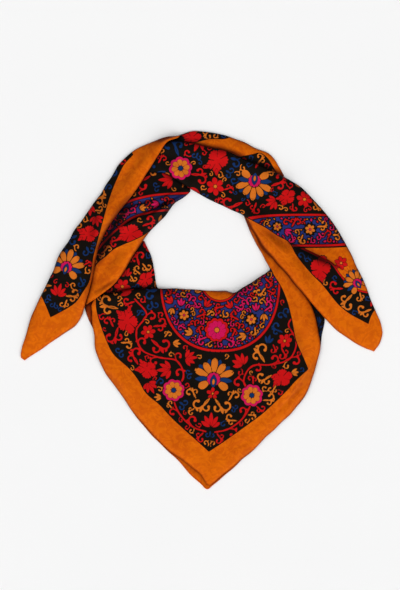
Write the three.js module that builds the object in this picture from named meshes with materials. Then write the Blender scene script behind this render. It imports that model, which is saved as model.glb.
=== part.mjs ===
// A printed silk square, folded to a triangle and laid flat on a table as a loose neck ring.
// The point of the triangle lies at the front, and its two long ends cross behind the neck
// opening and come forward again as a left and a right tail. Each stretch of the folded
// cloth that shows is one rounded solid. X is to the right, Y to the back, Z up.

import * as THREE from 'three';

// Driving sizes, in millimetres
const CLOTH = {
  hem: 1.2,          // thickness of the rolled hem and of a single wall of cloth
  gap: 0.3,          // clearance between stretches that lie on or beside each other
  cover: 11,         // how far cloth lies level past the edge of the stretch under it
  fall: 0.34,        // how steeply it falls to the table past that
};
const ROW_STEP = 9;      // distance between the rows along a stretch
const LEAST_ROWS = 3;
const FELT_STEP = 4;     // distance between the places where a top is felt by what lies on it

// How finely a curve is measured, and the nudge along it that gives its direction
const MEASURE_STEPS = 200;
const NUDGE = 1e-4;

// Colours of the silk
const ORANGE = { color: '#d0690c', roughness: 0.55, metalness: 0 };
const REVERSE = { color: '#a9480a', roughness: 0.6, metalness: 0 };
const DARK_PRINT = { color: '#47190f', roughness: 0.55, metalness: 0 };

// Cross sections of each stretch, one row for each. Side a and side b are the two edges of
// the stretch, and crown is how thick its folded layers are between them.
const SECTION = ['aX', 'aY', 'bX', 'bY', 'crown'];

// The hidden half of the triangle: its hem shows past the upper half at the left and the right.
// Side a is the hem and side b the fold.
const FRONT_UNDER = [
  [-117.5, -30.0, -105.0, 8.0, 1.2],
  [-111.0, -56.0, -86.0, 12.0, 1.2],
  [-91.0, -89.0, -62.0, 14.0, 1.2],
  [-65.0, -125.0, -38.0, 14.0, 1.2],
  [-49.6, -143.0, -26.0, 12.0, 1.2],
  [-24.2, -167.4, -10.0, 11.0, 1.2],
  [-1.0, -190.0, 3.0, 11.0, 1.2],
  [5.5, -196.3, 8.0, 11.0, 1.2],
  [12.0, -191.0, 13.0, 11.0, 1.2],
  [41.0, -166.0, 26.0, 11.0, 1.2],
  [75.0, -133.5, 38.0, 11.0, 1.2],
  [110.5, -95.0, 52.0, 19.0, 1.2],
  [125.3, -54.0, 66.0, 31.0, 1.2],
  [131.0, -26.0, 76.0, 38.0, 1.2],
  [133.3, -8.0, 86.0, 43.0, 1.2],
  [129.0, 6.0, 94.0, 46.0, 1.2],
];

// The upper half of the triangle, from its left end round the point and up the right side of
// the neck opening. Side a is the hem, and side b the fold round the opening.
const FRONT = [
  [-121.5, 5.0, -117.0, 17.0, 2.4],
  [-120.5, -20.0, -108.0, 18.2, 3.6],
  [-112.0, -56.0, -86.0, 22.3, 5.0],
  [-91.5, -90.0, -62.0, 24.2, 5.4],
  [-64.7, -123.4, -38.0, 24.0, 5.2],
  [-38.0, -152.5, -20.0, 22.3, 4.8],
  [-3.3, -176.7, 0.0, 21.2, 4.4],
  [7.5, -191.0, 9.0, 21.0, 4.2],
  [16.5, -184.2, 16.0, 21.2, 4.4],
  [41.0, -165.0, 26.3, 21.8, 4.8],
  [63.0, -145.4, 34.7, 18.8, 5.2],
  [88.6, -121.0, 44.0, 23.8, 5.4],
  [110.6, -94.2, 56.0, 30.5, 5.4],
  [120.9, -70.0, 65.0, 37.5, 5.2],
  [126.5, -48.0, 71.5, 43.0, 5.0],
  [128.2, -36.0, 73.8, 45.6, 4.8],
  [122.9, -8.4, 68.0, 56.0, 4.4],
  [116.8, 11.8, 60.5, 69.5, 4.2],
  [102.0, 42.0, 52.5, 86.5, 4.0],
  [82.0, 84.0, 45.0, 103.2, 3.6],
];
const FRONT_SPLIT = 15.4;   // the row where the front point ends and the right strip begins

// The cloth that rises from the left end of the front, up the left side of the opening
const LEFT_RISE = [
  [-112.0, 12.0, -47.0, 19.0, 2.2],
  [-108.0, 24.0, -51.6, 28.0, 3.6],
  [-98.0, 38.0, -53.2, 41.0, 4.2],
  [-90.0, 50.0, -55.4, 52.0, 4.0],
  [-81.0, 63.0, -59.2, 63.4, 3.4],
  [-71.0, 77.0, -64.8, 76.4, 2.0],
];

// A sliver of the reverse side, turned out between the front's left end and the tail
const LEFT_TURN = [
  [-126.0, 18.0, -112.0, 14.0, 1.6],
  [-128.9, 3.0, -114.0, 3.0, 2.2],
  [-127.0, -6.0, -115.0, -7.0, 2.0],
  [-124.0, -13.5, -116.0, -15.0, 1.6],
  [-120.9, -20.5, -117.5, -22.0, 1.3],
];

// The left side of the ring, from its lower hem up to the crease where it goes in under the
// neck stretch. Side a lies hidden under the left tail, and side b is the hem and then the opening.
const LEFT_STRETCH = [
  [-130.5, 12.0, -127.2, 6.4, 1.4],
  [-133.0, 25.0, -112.4, 17.8, 2.6],
  [-131.0, 42.0, -92.4, 35.6, 3.8],
  [-127.0, 60.0, -80.1, 55.4, 4.6],
  [-121.0, 76.0, -66.4, 76.8, 5.0],
  [-112.0, 94.0, -57.8, 89.5, 5.4],
  [-100.0, 112.0, -41.5, 103.8, 5.6],
  [-88.0, 128.0, -30.5, 117.6, 5.4],
  [-76.0, 144.0, -19.3, 125.3, 5.0],
  [-64.0, 160.0, -13.6, 131.6, 3.6],
  [-54.0, 172.0, -17.0, 141.0, 1.8],
];

// The end that passes behind the opening, of which the outer edge shows.
// Side a is the outside edge, and side b lies hidden under the neck stretch.
const BACK = [
  [-30.0, 192.0, -34.0, 178.0, 2.4],
  [-15.0, 196.2, -16.0, 174.0, 3.6],
  [4.4, 195.2, 2.0, 168.0, 4.2],
  [20.4, 192.3, 15.0, 164.0, 4.4],
  [46.4, 184.5, 36.0, 157.0, 4.4],
  [59.6, 178.6, 47.0, 152.0, 4.2],
  [73.7, 172.2, 58.0, 147.0, 3.8],
  [84.0, 157.0, 70.0, 141.0, 3.2],
  [88.4, 147.2, 78.0, 136.0, 2.6],
];

// The stretch over the back of the neck and on down the right as a tail.
// Side a is the outside edge, and side b is the opening and then the tail's hem.
const NECK_AND_TAIL = [
  [-56.0, 166.0, -58.0, 152.0, 2.2],
  [-44.0, 181.0, -40.0, 150.0, 3.8],
  [-31.0, 186.0, -26.0, 142.0, 5.2],
  [-18.0, 184.4, -11.6, 132.4, 5.8],
  [8.0, 179.7, 11.3, 120.9, 6.2],
  [33.3, 171.7, 30.0, 111.0, 6.4],
  [55.2, 162.1, 44.8, 103.4, 6.4],
  [88.6, 145.5, 57.0, 87.5, 6.2],
  [111.7, 131.3, 66.0, 72.0, 6.0],
  [136.7, 103.2, 79.3, 56.5, 5.8],
  [158.3, 69.7, 99.0, 33.0, 5.6],
  [174.0, 38.9, 121.0, 8.2, 5.2],
  [182.0, 19.5, 138.0, -12.0, 4.8],
  [190.5, -3.0, 158.0, -29.6, 4.2],
  [198.2, -25.0, 178.0, -41.0, 3.2],
  [193.6, -36.8, 184.8, -43.4, 2.2],
  [189.8, -41.0, 187.4, -44.6, 1.4],
];
const TAIL_SPLIT = 7.2;     // the row where the neck stretch ends and the right tail begins

// The left tail. Side a is its outside edge, and side b the hem of its orange border.
const LEFT_TAIL = [
  [-21.0, 195.4, -26.0, 191.6, 1.4],
  [-40.0, 191.0, -38.0, 186.0, 2.2],
  [-66.0, 180.0, -50.0, 168.6, 3.4],
  [-88.5, 163.5, -64.0, 146.6, 4.4],
  [-105.5, 138.0, -81.0, 122.4, 5.0],
  [-121.6, 114.8, -94.5, 104.2, 5.4],
  [-148.3, 76.3, -113.5, 73.8, 5.8],
  [-164.0, 44.0, -120.5, 44.0, 5.8],
  [-178.0, 14.7, -128.6, 9.4, 5.4],
  [-184.4, 1.0, -131.2, 0.2, 5.2],
  [-188.6, -8.0, -139.6, -15.8, 4.8],
  [-193.8, -24.0, -156.0, -26.8, 4.2],
  [-198.2, -45.0, -187.0, -47.8, 2.4],
  [-198.0, -51.4, -194.6, -54.0, 1.4],
];

// Soft folds and creases, one row for each: a line across the cloth, how high the fold
// stands over it (or, below zero, how deep the trough is) and its half width
const FOLD = ['fromX', 'fromY', 'toX', 'toY', 'height', 'width'];
const FRONT_FOLDS = [
  [-100, 6, -20, 14, 1.6, 12],
  [4, 12, 68, 34, 1.8, 13],
  [-96, -22, -46, -84, 1.1, 14],
  [106, -34, 52, -104, 1.1, 15],
  [10, -44, 4, -132, -0.9, 16],
];
const STRIP_FOLDS = [
  [57, 90, 82, 40, 1.5, 7],
  [92, 22, 112, -18, 1.2, 9],
];
const LEFT_STRETCH_FOLDS = [
  [-104, 84, -46, 110, -1.9, 6],
  [-96, 70, -60, 88, 1.6, 8],
  [-92, 112, -32, 122, 1.4, 8],
];
const NECK_FOLDS = [
  [-34, 150, -12, 134, -1.8, 7],
  [-28, 160, 34, 128, 1.8, 12],
  [52, 152, 60, 100, -1.2, 9],
];
const TAIL_FOLDS = [
  [90, 78, 148, 50, -2.6, 7],
  [100, 84, 160, 56, 2.0, 9],
  [112, 40, 160, -4, 1.6, 9],
];
const LEFT_TAIL_FOLDS = [
  [-84, 154, -120, 74, 1.5, 9],
  [-150, 62, -168, 8, 1.4, 12],
  [-132, 40, -146, 0, -1.2, 8],
];

function table(columns, rows) {
  return rows.map((row) => Object.fromEntries(columns.map((name, i) => [name, row[i]])));
}

// Quarter-circle rise from 0 at an edge to 1 at the given distance from it
function roundedRise(distance, width) {
  const t = Math.min(distance / width, 1);
  return Math.sqrt(1 - (1 - t) ** 2);
}

// Height that one fold adds at a place, fading along its line and away from it
function foldHeight(fold, x, y) {
  const line = new THREE.Vector2(fold.toX - fold.fromX, fold.toY - fold.fromY);
  const place = new THREE.Vector2(x - fold.fromX, y - fold.fromY);
  const along = THREE.MathUtils.clamp(place.dot(line) / line.lengthSq(), 0, 1);
  const away = place.sub(line.multiplyScalar(along)).length();
  return fold.height * Math.sin(Math.PI * along) * Math.exp(-((away / fold.width) ** 2));
}

// Height at which cloth rests at a place: on the table, or over the stretches under it
function restingHeight(x, y, tops) {
  let height = 0;
  for (const top of tops) {
    const distance = Math.hypot(x - top.x, y - top.y);
    const drop = Math.max(0, distance - CLOTH.cover) * CLOTH.fall;
    height = Math.max(height, top.z + CLOTH.gap - drop);
  }
  return height;
}

// The two edges of a stretch as smooth curves through its sections, with the crown as height
function edgeCurves(sections) {
  const curve = (x, y) => new THREE.CatmullRomCurve3(
    sections.map((row) => new THREE.Vector3(row[x], row[y], row.crown)), false, 'centripetal');
  return { a: curve('aX', 'aY'), b: curve('bX', 'bY'), last: sections.length - 1 };
}

// Point of a stretch in plan, at t along it and u across it, with the crown as height
function pointOf(edges, t, u) {
  return edges.a.getPoint(t).lerp(edges.b.getPoint(t), u);
}

function planDistance(p, q) {
  return Math.hypot(p.x - q.x, p.y - q.y);
}

// Places along a stretch, from 0 to 1, evenly spaced by its side a or its middle line,
// whichever is longer there
function rowPlaces(edges, first, last) {
  const lengths = [0];
  const placeAt = (i) => (first + ((last - first) * i) / MEASURE_STEPS) / edges.last;
  for (let i = 1; i <= MEASURE_STEPS; i += 1) {
    const steps = [0, 0.5].map((u) => (
      planDistance(pointOf(edges, placeAt(i - 1), u), pointOf(edges, placeAt(i), u))));
    lengths.push(lengths[i - 1] + Math.max(...steps));
  }
  const length = lengths[MEASURE_STEPS];
  const count = Math.max(LEAST_ROWS, Math.round(length / ROW_STEP));
  const places = [placeAt(0)];
  for (let row = 1; row < count; row += 1) {
    const target = (length * row) / count;
    const at = lengths.findIndex((value) => value >= target);
    const part = (target - lengths[at - 1]) / (lengths[at] - lengths[at - 1]);
    places.push(placeAt(at - 1 + part));
  }
  places.push(placeAt(MEASURE_STEPS));
  return places;
}

// Thickness of a stretch at a place: its hem at the edges, and its crown and folds between
function thicknessAt(stretch, folds, point, u, width) {
  const rise = roundedRise(u * width, Math.min(stretch.roundA, width / 2))
    * roundedRise((1 - u) * width, Math.min(stretch.roundB, width / 2));
  const fold = folds.reduce((sum, item) => sum + foldHeight(item, point.x, point.y), 0);
  return CLOTH.hem + Math.max(0, (point.z - CLOTH.hem + fold) * rise);
}

// A closed solid for one stretch: an underside that rests on what lies under it, and a top
// that rises from each edge to the crown. The first and last rows keep half the gap to
// a neighbour that goes on from there.
function stretchSolid(stretch, tops) {
  const edges = edgeCurves(table(SECTION, stretch.sections));
  const folds = table(FOLD, stretch.folds);
  const [first, last] = stretch.range ?? [0, edges.last];
  const places = rowPlaces(edges, first, last);
  const under = [];
  const upper = [];
  places.forEach((t, row) => {
    const width = planDistance(edges.a.getPoint(t), edges.b.getPoint(t));
    for (let column = 0; column <= stretch.columns; column += 1) {
      // Columns crowd towards both edges, where the cloth curves
      const u = (1 - Math.cos((Math.PI * column) / stretch.columns)) / 2;
      const point = pointOf(edges, t, u);
      const ahead = pointOf(edges, Math.min(1, t + NUDGE), u).sub(pointOf(edges, Math.max(0, t - NUDGE), u));
      ahead.setZ(0).normalize();
      if (row === 0 && first > 0) point.addScaledVector(ahead, CLOTH.gap / 2);
      if (row === places.length - 1 && last < edges.last) point.addScaledVector(ahead, -CLOTH.gap / 2);
      const base = restingHeight(point.x, point.y, tops);
      under.push(new THREE.Vector3(point.x, point.y, base));
      upper.push(new THREE.Vector3(point.x, point.y, base + thicknessAt(stretch, folds, point, u, width)));
    }
  });
  const grid = [places.length, stretch.columns + 1];
  return { geometry: closedGeometry(under, upper, ...grid), felt: spreadOver(upper, ...grid) };
}

// Places spread evenly over a top that is a grid of points
function spreadOver(upper, rows, columns) {
  const places = [];
  for (let row = 0; row < rows - 1; row += 1) {
    for (let column = 0; column < columns - 1; column += 1) {
      const corner = row * columns + column;
      const [a, b] = [upper[corner], upper[corner + 1]];
      const [c, d] = [upper[corner + columns], upper[corner + columns + 1]];
      const across = Math.ceil(Math.max(a.distanceTo(b), c.distanceTo(d)) / FELT_STEP);
      const along = Math.ceil(Math.max(a.distanceTo(c), b.distanceTo(d)) / FELT_STEP);
      for (let i = 0; i <= along; i += 1) {
        for (let j = 0; j <= across; j += 1) {
          const near = a.clone().lerp(b, j / across);
          places.push(near.lerp(c.clone().lerp(d, j / across), i / along));
        }
      }
    }
  }
  return places;
}

// Joins an underside and a top of the same grid into one closed body
function closedGeometry(under, upper, rows, columns) {
  const indices = [];
  const offset = under.length;
  const quad = (a, b, c, d) => indices.push(a, b, c, a, c, d);
  for (let row = 0; row < rows - 1; row += 1) {
    for (let column = 0; column < columns - 1; column += 1) {
      const corner = row * columns + column;
      quad(corner, corner + 1, corner + columns + 1, corner + columns);
      quad(offset + corner, offset + corner + columns, offset + corner + columns + 1, offset + corner + 1);
    }
  }
  const rim = [];
  for (let column = 0; column < columns - 1; column += 1) rim.push(column);
  for (let row = 0; row < rows - 1; row += 1) rim.push(row * columns + columns - 1);
  for (let column = columns - 1; column > 0; column -= 1) rim.push((rows - 1) * columns + column);
  for (let row = rows - 1; row > 0; row -= 1) rim.push(row * columns);
  rim.forEach((corner, i) => {
    const next = rim[(i + 1) % rim.length];
    quad(next, corner, offset + corner, offset + next);
  });
  const geometry = new THREE.BufferGeometry().setFromPoints([...under, ...upper]);
  geometry.setIndex(signedVolume(under.concat(upper), indices) > 0 ? indices : indices.reverse());
  geometry.computeVertexNormals();
  return geometry;
}

function signedVolume(points, indices) {
  let volume = 0;
  for (let i = 0; i < indices.length; i += 3) {
    const [a, b, c] = [points[indices[i]], points[indices[i + 1]], points[indices[i + 2]]];
    volume += a.dot(b.clone().cross(c)) / 6;
  }
  return volume;
}

// The stretches from the table upwards. Each rests on those before it. roundA and roundB are
// how far in from each edge its top has risen to the crown, and columns the cells across it.
// A stretch that goes on from the one before lies beside it, so it names it as its neighbour.
const frontLast = FRONT.length - 1;
const tailLast = NECK_AND_TAIL.length - 1;
const STRETCHES = [
  {
    name: 'front_under_layer', sections: FRONT_UNDER, folds: [],
    roundA: 2, roundB: 2, columns: 6, finish: ORANGE,
  },
  {
    name: 'left_inner_rise', sections: LEFT_RISE, folds: [],
    roundA: 10, roundB: 7, columns: 9, finish: DARK_PRINT,
  },
  {
    name: 'left_turned_fold', sections: LEFT_TURN, folds: [],
    roundA: 4, roundB: 4, columns: 5, finish: REVERSE,
  },
  {
    name: 'front_point', sections: FRONT, range: [0, FRONT_SPLIT], folds: FRONT_FOLDS,
    roundA: 26, roundB: 9, columns: 16, finish: DARK_PRINT,
  },
  {
    name: 'right_strip', sections: FRONT, range: [FRONT_SPLIT, frontLast], folds: STRIP_FOLDS,
    roundA: 20, roundB: 9, columns: 9, finish: ORANGE, neighbour: 'front_point',
  },
  {
    name: 'left_stretch', sections: LEFT_STRETCH, folds: LEFT_STRETCH_FOLDS,
    roundA: 14, roundB: 8, columns: 9, finish: DARK_PRINT,
  },
  {
    name: 'back_stretch', sections: BACK, folds: [],
    roundA: 9, roundB: 8, columns: 7, finish: ORANGE,
  },
  {
    name: 'neck_stretch', sections: NECK_AND_TAIL, range: [0, TAIL_SPLIT], folds: NECK_FOLDS,
    roundA: 10, roundB: 10, columns: 10, finish: DARK_PRINT,
  },
  {
    name: 'right_tail', sections: NECK_AND_TAIL, range: [TAIL_SPLIT, tailLast], folds: TAIL_FOLDS,
    roundA: 10, roundB: 16, columns: 10, finish: ORANGE, neighbour: 'neck_stretch',
  },
  {
    name: 'left_tail', sections: LEFT_TAIL, folds: LEFT_TAIL_FOLDS,
    roundA: 10, roundB: 15, columns: 9, finish: ORANGE,
  },
];

const scarf = new THREE.Group();
const laid = [];
for (const stretch of STRETCHES) {
  const tops = laid.filter((item) => item.name !== stretch.neighbour).flatMap((item) => item.felt);
  const { geometry, felt } = stretchSolid(stretch, tops);
  const mesh = new THREE.Mesh(geometry, new THREE.MeshStandardMaterial(stretch.finish));
  mesh.name = stretch.name;
  scarf.add(mesh);
  laid.push({ name: stretch.name, felt });
}

// The origin is on the table, under the middle of the scarf
const box = new THREE.Box3().setFromObject(scarf);
const centre = box.getCenter(new THREE.Vector3());
scarf.position.set(-centre.x, -centre.y, -box.min.z);
scarf.updateMatrixWorld(true);

export default scarf;
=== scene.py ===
# %% [markdown]
# # A printed silk scarf, folded and laid flat
# The real thing is one square of thin printed silk with a hand rolled hem. It is folded to a
# triangle, and laid on a table as a loose ring, as if round a neck: the point lies at the
# front, and the two long ends cross at the back and come forward as tails. This lesson makes
# every stretch of the folded cloth that shows as a skin over its solid, prints it with
# a flowered pattern drawn by formula, and sews the hem.

# %% Load the frame
import math

import bpy
import numpy as np
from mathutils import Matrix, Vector


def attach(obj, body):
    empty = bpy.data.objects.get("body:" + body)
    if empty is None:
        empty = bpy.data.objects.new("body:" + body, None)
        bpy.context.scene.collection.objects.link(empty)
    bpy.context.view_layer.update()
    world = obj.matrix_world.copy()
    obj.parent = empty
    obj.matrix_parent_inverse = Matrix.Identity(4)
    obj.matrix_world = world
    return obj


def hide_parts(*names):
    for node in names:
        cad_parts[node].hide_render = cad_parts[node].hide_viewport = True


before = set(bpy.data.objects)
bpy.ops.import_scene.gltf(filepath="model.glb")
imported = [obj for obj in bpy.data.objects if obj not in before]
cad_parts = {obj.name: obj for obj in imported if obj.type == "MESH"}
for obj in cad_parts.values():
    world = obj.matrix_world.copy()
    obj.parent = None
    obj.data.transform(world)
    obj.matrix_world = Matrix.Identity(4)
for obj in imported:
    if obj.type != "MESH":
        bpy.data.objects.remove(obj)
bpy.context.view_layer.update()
MM = 0.001


def new_object(name, data):
    thing = bpy.data.objects.new(name, data)
    bpy.context.scene.collection.objects.link(thing)
    return thing


print("pieces in the frame:", len(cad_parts))

# %% [markdown]
# ## The camera
# The scarf was photographed from straight above, so the camera looks down on the table. A long
# lens far away keeps the edges of the cloth from leaning. Another way is an orthographic
# camera, but a long lens still gives the slight perspective of a real one.

# %% Place the camera
PHOTO_WIDTH = 400
PHOTO_HEIGHT = 590
MM_PER_PIXEL = 1.1
SCARF_MIDDLE_PIXEL = (202.5, 310.4)
CAMERA_HEIGHT = 2.6     # in metres
SENSOR_WIDTH = 36.0     # in mm, as of a full frame camera

camera_data = bpy.data.cameras.new("camera")
camera = new_object("camera", camera_data)
bpy.context.scene.camera = camera
seen_height = PHOTO_HEIGHT * MM_PER_PIXEL * MM
camera_data.sensor_width = SENSOR_WIDTH
camera_data.lens = SENSOR_WIDTH * CAMERA_HEIGHT / seen_height
camera.location = (
    (PHOTO_WIDTH / 2 - SCARF_MIDDLE_PIXEL[0]) * MM_PER_PIXEL * MM,
    (SCARF_MIDDLE_PIXEL[1] - PHOTO_HEIGHT / 2) * MM_PER_PIXEL * MM,
    CAMERA_HEIGHT,
)
print("lens in mm:", round(camera_data.lens, 1))

# %% [markdown]
# ## The stretches of cloth
# Each stretch is described as a maker would chalk it: cross lines from one edge of the folded
# band (side a) to the other (side b), with how thick the folded layers are there. A smooth
# curve through the ends of the lines gives both edges. All tables are in millimetres.

# %% Cross lines of each stretch
# Columns: side a x, side a y, side b x, side b y, crown
FRONT_UNDER = [
    (-117.5, -30, -105, 8, 1.2),
    (-111, -56, -86, 12, 1.2),
    (-91, -89, -62, 14, 1.2),
    (-65, -125, -38, 14, 1.2),
    (-49.6, -143, -26, 12, 1.2),
    (-24.2, -167.4, -10, 11, 1.2),
    (-1, -190, 3, 11, 1.2),
    (5.5, -196.3, 8, 11, 1.2),
    (12, -191, 13, 11, 1.2),
    (41, -166, 26, 11, 1.2),
    (75, -133.5, 38, 11, 1.2),
    (110.5, -95, 52, 19, 1.2),
    (125.3, -54, 66, 31, 1.2),
    (131, -26, 76, 38, 1.2),
    (133.3, -8, 86, 43, 1.2),
    (129, 6, 94, 46, 1.2),
]
FRONT = [
    (-121.5, 5, -117, 17, 2.4),
    (-120.5, -20, -108, 18.2, 3.6),
    (-112, -56, -86, 22.3, 5),
    (-91.5, -90, -62, 24.2, 5.4),
    (-64.7, -123.4, -38, 24, 5.2),
    (-38, -152.5, -20, 22.3, 4.8),
    (-3.3, -176.7, 0, 21.2, 4.4),
    (7.5, -191, 9, 21, 4.2),
    (16.5, -184.2, 16, 21.2, 4.4),
    (41, -165, 26.3, 21.8, 4.8),
    (63, -145.4, 34.7, 18.8, 5.2),
    (88.6, -121, 44, 23.8, 5.4),
    (110.6, -94.2, 56, 30.5, 5.4),
    (120.9, -70, 65, 37.5, 5.2),
    (126.5, -48, 71.5, 43, 5),
    (128.2, -36, 73.8, 45.6, 4.8),
    (122.9, -8.4, 68, 56, 4.4),
    (116.8, 11.8, 60.5, 69.5, 4.2),
    (102, 42, 52.5, 86.5, 4),
    (82, 84, 45, 103.2, 3.6),
]
LEFT_RISE = [
    (-112, 12, -47, 19, 2.2),
    (-108, 24, -51.6, 28, 3.6),
    (-98, 38, -53.2, 41, 4.2),
    (-90, 50, -55.4, 52, 4),
    (-81, 63, -59.2, 63.4, 3.4),
    (-71, 77, -64.8, 76.4, 2),
]
LEFT_TURN = [
    (-126, 18, -112, 14, 1.6),
    (-128.9, 3, -114, 3, 2.2),
    (-127, -6, -115, -7, 2),
    (-124, -13.5, -116, -15, 1.6),
    (-120.9, -20.5, -117.5, -22, 1.3),
]
LEFT_STRETCH = [
    (-130.5, 12, -127.2, 6.4, 1.4),
    (-133, 25, -112.4, 17.8, 2.6),
    (-131, 42, -92.4, 35.6, 3.8),
    (-127, 60, -80.1, 55.4, 4.6),
    (-121, 76, -66.4, 76.8, 5),
    (-112, 94, -57.8, 89.5, 5.4),
    (-100, 112, -41.5, 103.8, 5.6),
    (-88, 128, -30.5, 117.6, 5.4),
    (-76, 144, -19.3, 125.3, 5),
    (-64, 160, -13.6, 131.6, 3.6),
    (-54, 172, -17, 141, 1.8),
]
BACK = [
    (-40, 188, -42, 174, 2),
    (-15, 196.2, -16, 174, 3.6),
    (4.4, 195.2, 2, 168, 4.2),
    (20.4, 192.3, 15, 164, 4.4),
    (46.4, 184.5, 36, 157, 4.4),
    (59.6, 178.6, 47, 152, 4.2),
    (73.7, 172.2, 58, 147, 3.8),
    (84, 157, 70, 141, 3.2),
    (88.4, 147.2, 78, 136, 2.6),
]
NECK_AND_TAIL = [
    (-56, 166, -58, 152, 2.2),
    (-44, 181, -40, 150, 3.8),
    (-31, 186, -26, 142, 5.2),
    (-18, 184.4, -11.6, 132.4, 5.8),
    (8, 179.7, 11.3, 120.9, 6.2),
    (33.3, 171.7, 30, 111, 6.4),
    (55.2, 162.1, 44.8, 103.4, 6.4),
    (88.6, 145.5, 57, 87.5, 6.2),
    (111.7, 131.3, 66, 72, 6),
    (136.7, 103.2, 79.3, 56.5, 5.8),
    (158.3, 69.7, 99, 33, 5.6),
    (174, 38.9, 121, 8.2, 5.2),
    (182, 19.5, 138, -12, 4.8),
    (190.5, -3, 158, -29.6, 4.2),
    (198.2, -25, 178, -41, 3.2),
    (193.6, -36.8, 184.8, -43.4, 2.2),
    (189.8, -41, 187.4, -44.6, 1.4),
]
LEFT_TAIL = [
    (-24, 193.6, -27.5, 190.6, 1.2),
    (-41, 189.2, -39, 184.6, 2),
    (-66, 180, -50, 168.6, 3.4),
    (-88.5, 163.5, -64, 146.6, 4.4),
    (-105.5, 138, -81, 122.4, 5),
    (-121.6, 114.8, -94.5, 104.2, 5.4),
    (-148.3, 76.3, -113.5, 73.8, 5.8),
    (-164, 44, -120.5, 44, 5.8),
    (-178, 14.7, -128.6, 9.4, 5.4),
    (-184.4, 1, -131.2, 0.2, 5.2),
    (-188.6, -8, -139.6, -15.8, 4.8),
    (-193.8, -24, -156, -26.8, 4.2),
    (-198.2, -45, -187, -47.8, 2.4),
    (-198, -51.4, -194.6, -54, 1.4),
]
print("cross lines of the front:", len(FRONT))

# %% [markdown]
# ## Folds and creases
# Silk that was folded by hand never lies quite flat. Its folds are soft ridges and troughs of
# uneven length, depth and spacing. They could be left to a cloth simulation, but the folds that
# the photograph shows have their places, so each one is a row here: a line across the cloth,
# how high it stands (below zero for a trough), its half width, and lap. A lap of 1 makes the
# ridge fall off steeply on the right of its line, as where cloth is folded over itself.

# %% Folds of each stretch
# Columns: from x, from y, to x, to y, height, half width, lap
FRONT_FOLDS = [
    (-100, 6, -20, 14, 1.6, 12, 0),
    (4, 12, 68, 34, 1.8, 13, 0),
    (-96, -22, -46, -84, 1.1, 14, 0),
    (106, -34, 52, -104, 1.1, 15, 0),
    (10, -44, 4, -132, -0.9, 16, 0),
    (68, 60, 101, -26, 1.9, 9, 1),
    (93, 8, 117, -66, 1.7, 9, 1),
    (58, 84, 76, 46, -1.3, 4, 0),
    (104, 12, 118, -30, 1.3, 6, 0),
    (66, 88, 104, 30, -1.4, 3, 0),
    (-114, -12, -88, -60, -0.9, 5, 0),
    (-62, -94, -22, -140, 0.8, 6, 0),
    (40, -140, 84, -98, -0.8, 6, 0),
    (94, -92, 121, -54, 2.0, 4, 0),
    (86, -84, 116, -100, 1.2, 4, 0),
    (78, -116, 114, -80, -1.6, 3, 0),
    (30, -152, 64, -138, -0.9, 4, 0),
    (-104, -62, -78, -92, 1.0, 4, 0),
    (-40, -116, 6, -168, -0.6, 5, 0),
    (-70, 10, -96, -40, 0.7, 8, 0),
    (-20, -10, -44, -70, 0.6, 9, 0),
]
LEFT_STRETCH_FOLDS = [
    (-14, 130, -104, 84, 4.2, 7, 1),
    (-16, 134, -112, 100, 3.4, 5, 1),
    (-96, 70, -56, 92, 1.8, 7, 0),
    (-92, 122, -26, 128, 1.6, 4, 0),
    (-122, 24, -84, 60, 0.8, 7, 0),
    (-118, 18, -90, 38, -1.3, 3, 0),
    (-24, 126, -74, 98, -3.0, 2.5, 0),
    (-22, 130, -80, 112, -2.6, 2.5, 0),
    (-20, 127, -58, 104, 2.2, 3, 1),
]
NECK_FOLDS = [
    (-12, 135, -54, 152, -1.6, 4, 0),
    (-14, 137, 30, 146, 1.2, 8, 0),
    (-28, 162, 34, 140, 1.6, 12, 0),
    (52, 156, 60, 104, -1.0, 9, 0),
    (88, 80, 158, 46, 6.0, 10, 1),
    (56, 97, 100, 66, -2.2, 5, 0),
    (90, 92, 160, 62, 1.2, 9, 0),
    (112, 42, 160, -6, 1.4, 9, 0),
    (44, 104, 84, 70, -1.3, 4, 0),
    (54, 98, 92, 60, 1.3, 4, 1),
    (124, 24, 170, -26, -0.9, 5, 0),
    (-4, 180, 56, 158, 0.9, 4, 0),
    (110, 116, 150, 78, 0.8, 6, 0),
    (176, -6, 190, -34, 0.7, 5, 0),
]
LEFT_TAIL_FOLDS = [
    (-84, 154, -120, 74, 0.5, 9, 0),
    (-150, 62, -168, 8, 1.4, 12, 0),
    (-122, 60, -106, 118, 1.3, 6, 1),
    (-118, 104, -127, 24, -1.6, 4, 0),
    (-134, 40, -148, 2, -1.0, 6, 0),
    (-176, 4, -192, -38, 0.9, 6, 0),
    (-146, -6, -180, -38, -0.8, 5, 0),
    (-60, 174, -88, 146, -0.8, 5, 0),
    (-126, 96, -146, 50, 0.7, 5, 0),
]
RISE_FOLDS = [
    (-96, 24, -64, 40, 1.0, 7, 0),
    (-82, 44, -62, 60, -0.8, 5, 0),
]
BACK_FOLDS = [
    (-6, 188, 60, 170, 0.9, 5, 0),
    (52, 168, 82, 152, -1.2, 4, 0),
    (66, 172, 84, 154, 0.9, 3, 0),
]
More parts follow.
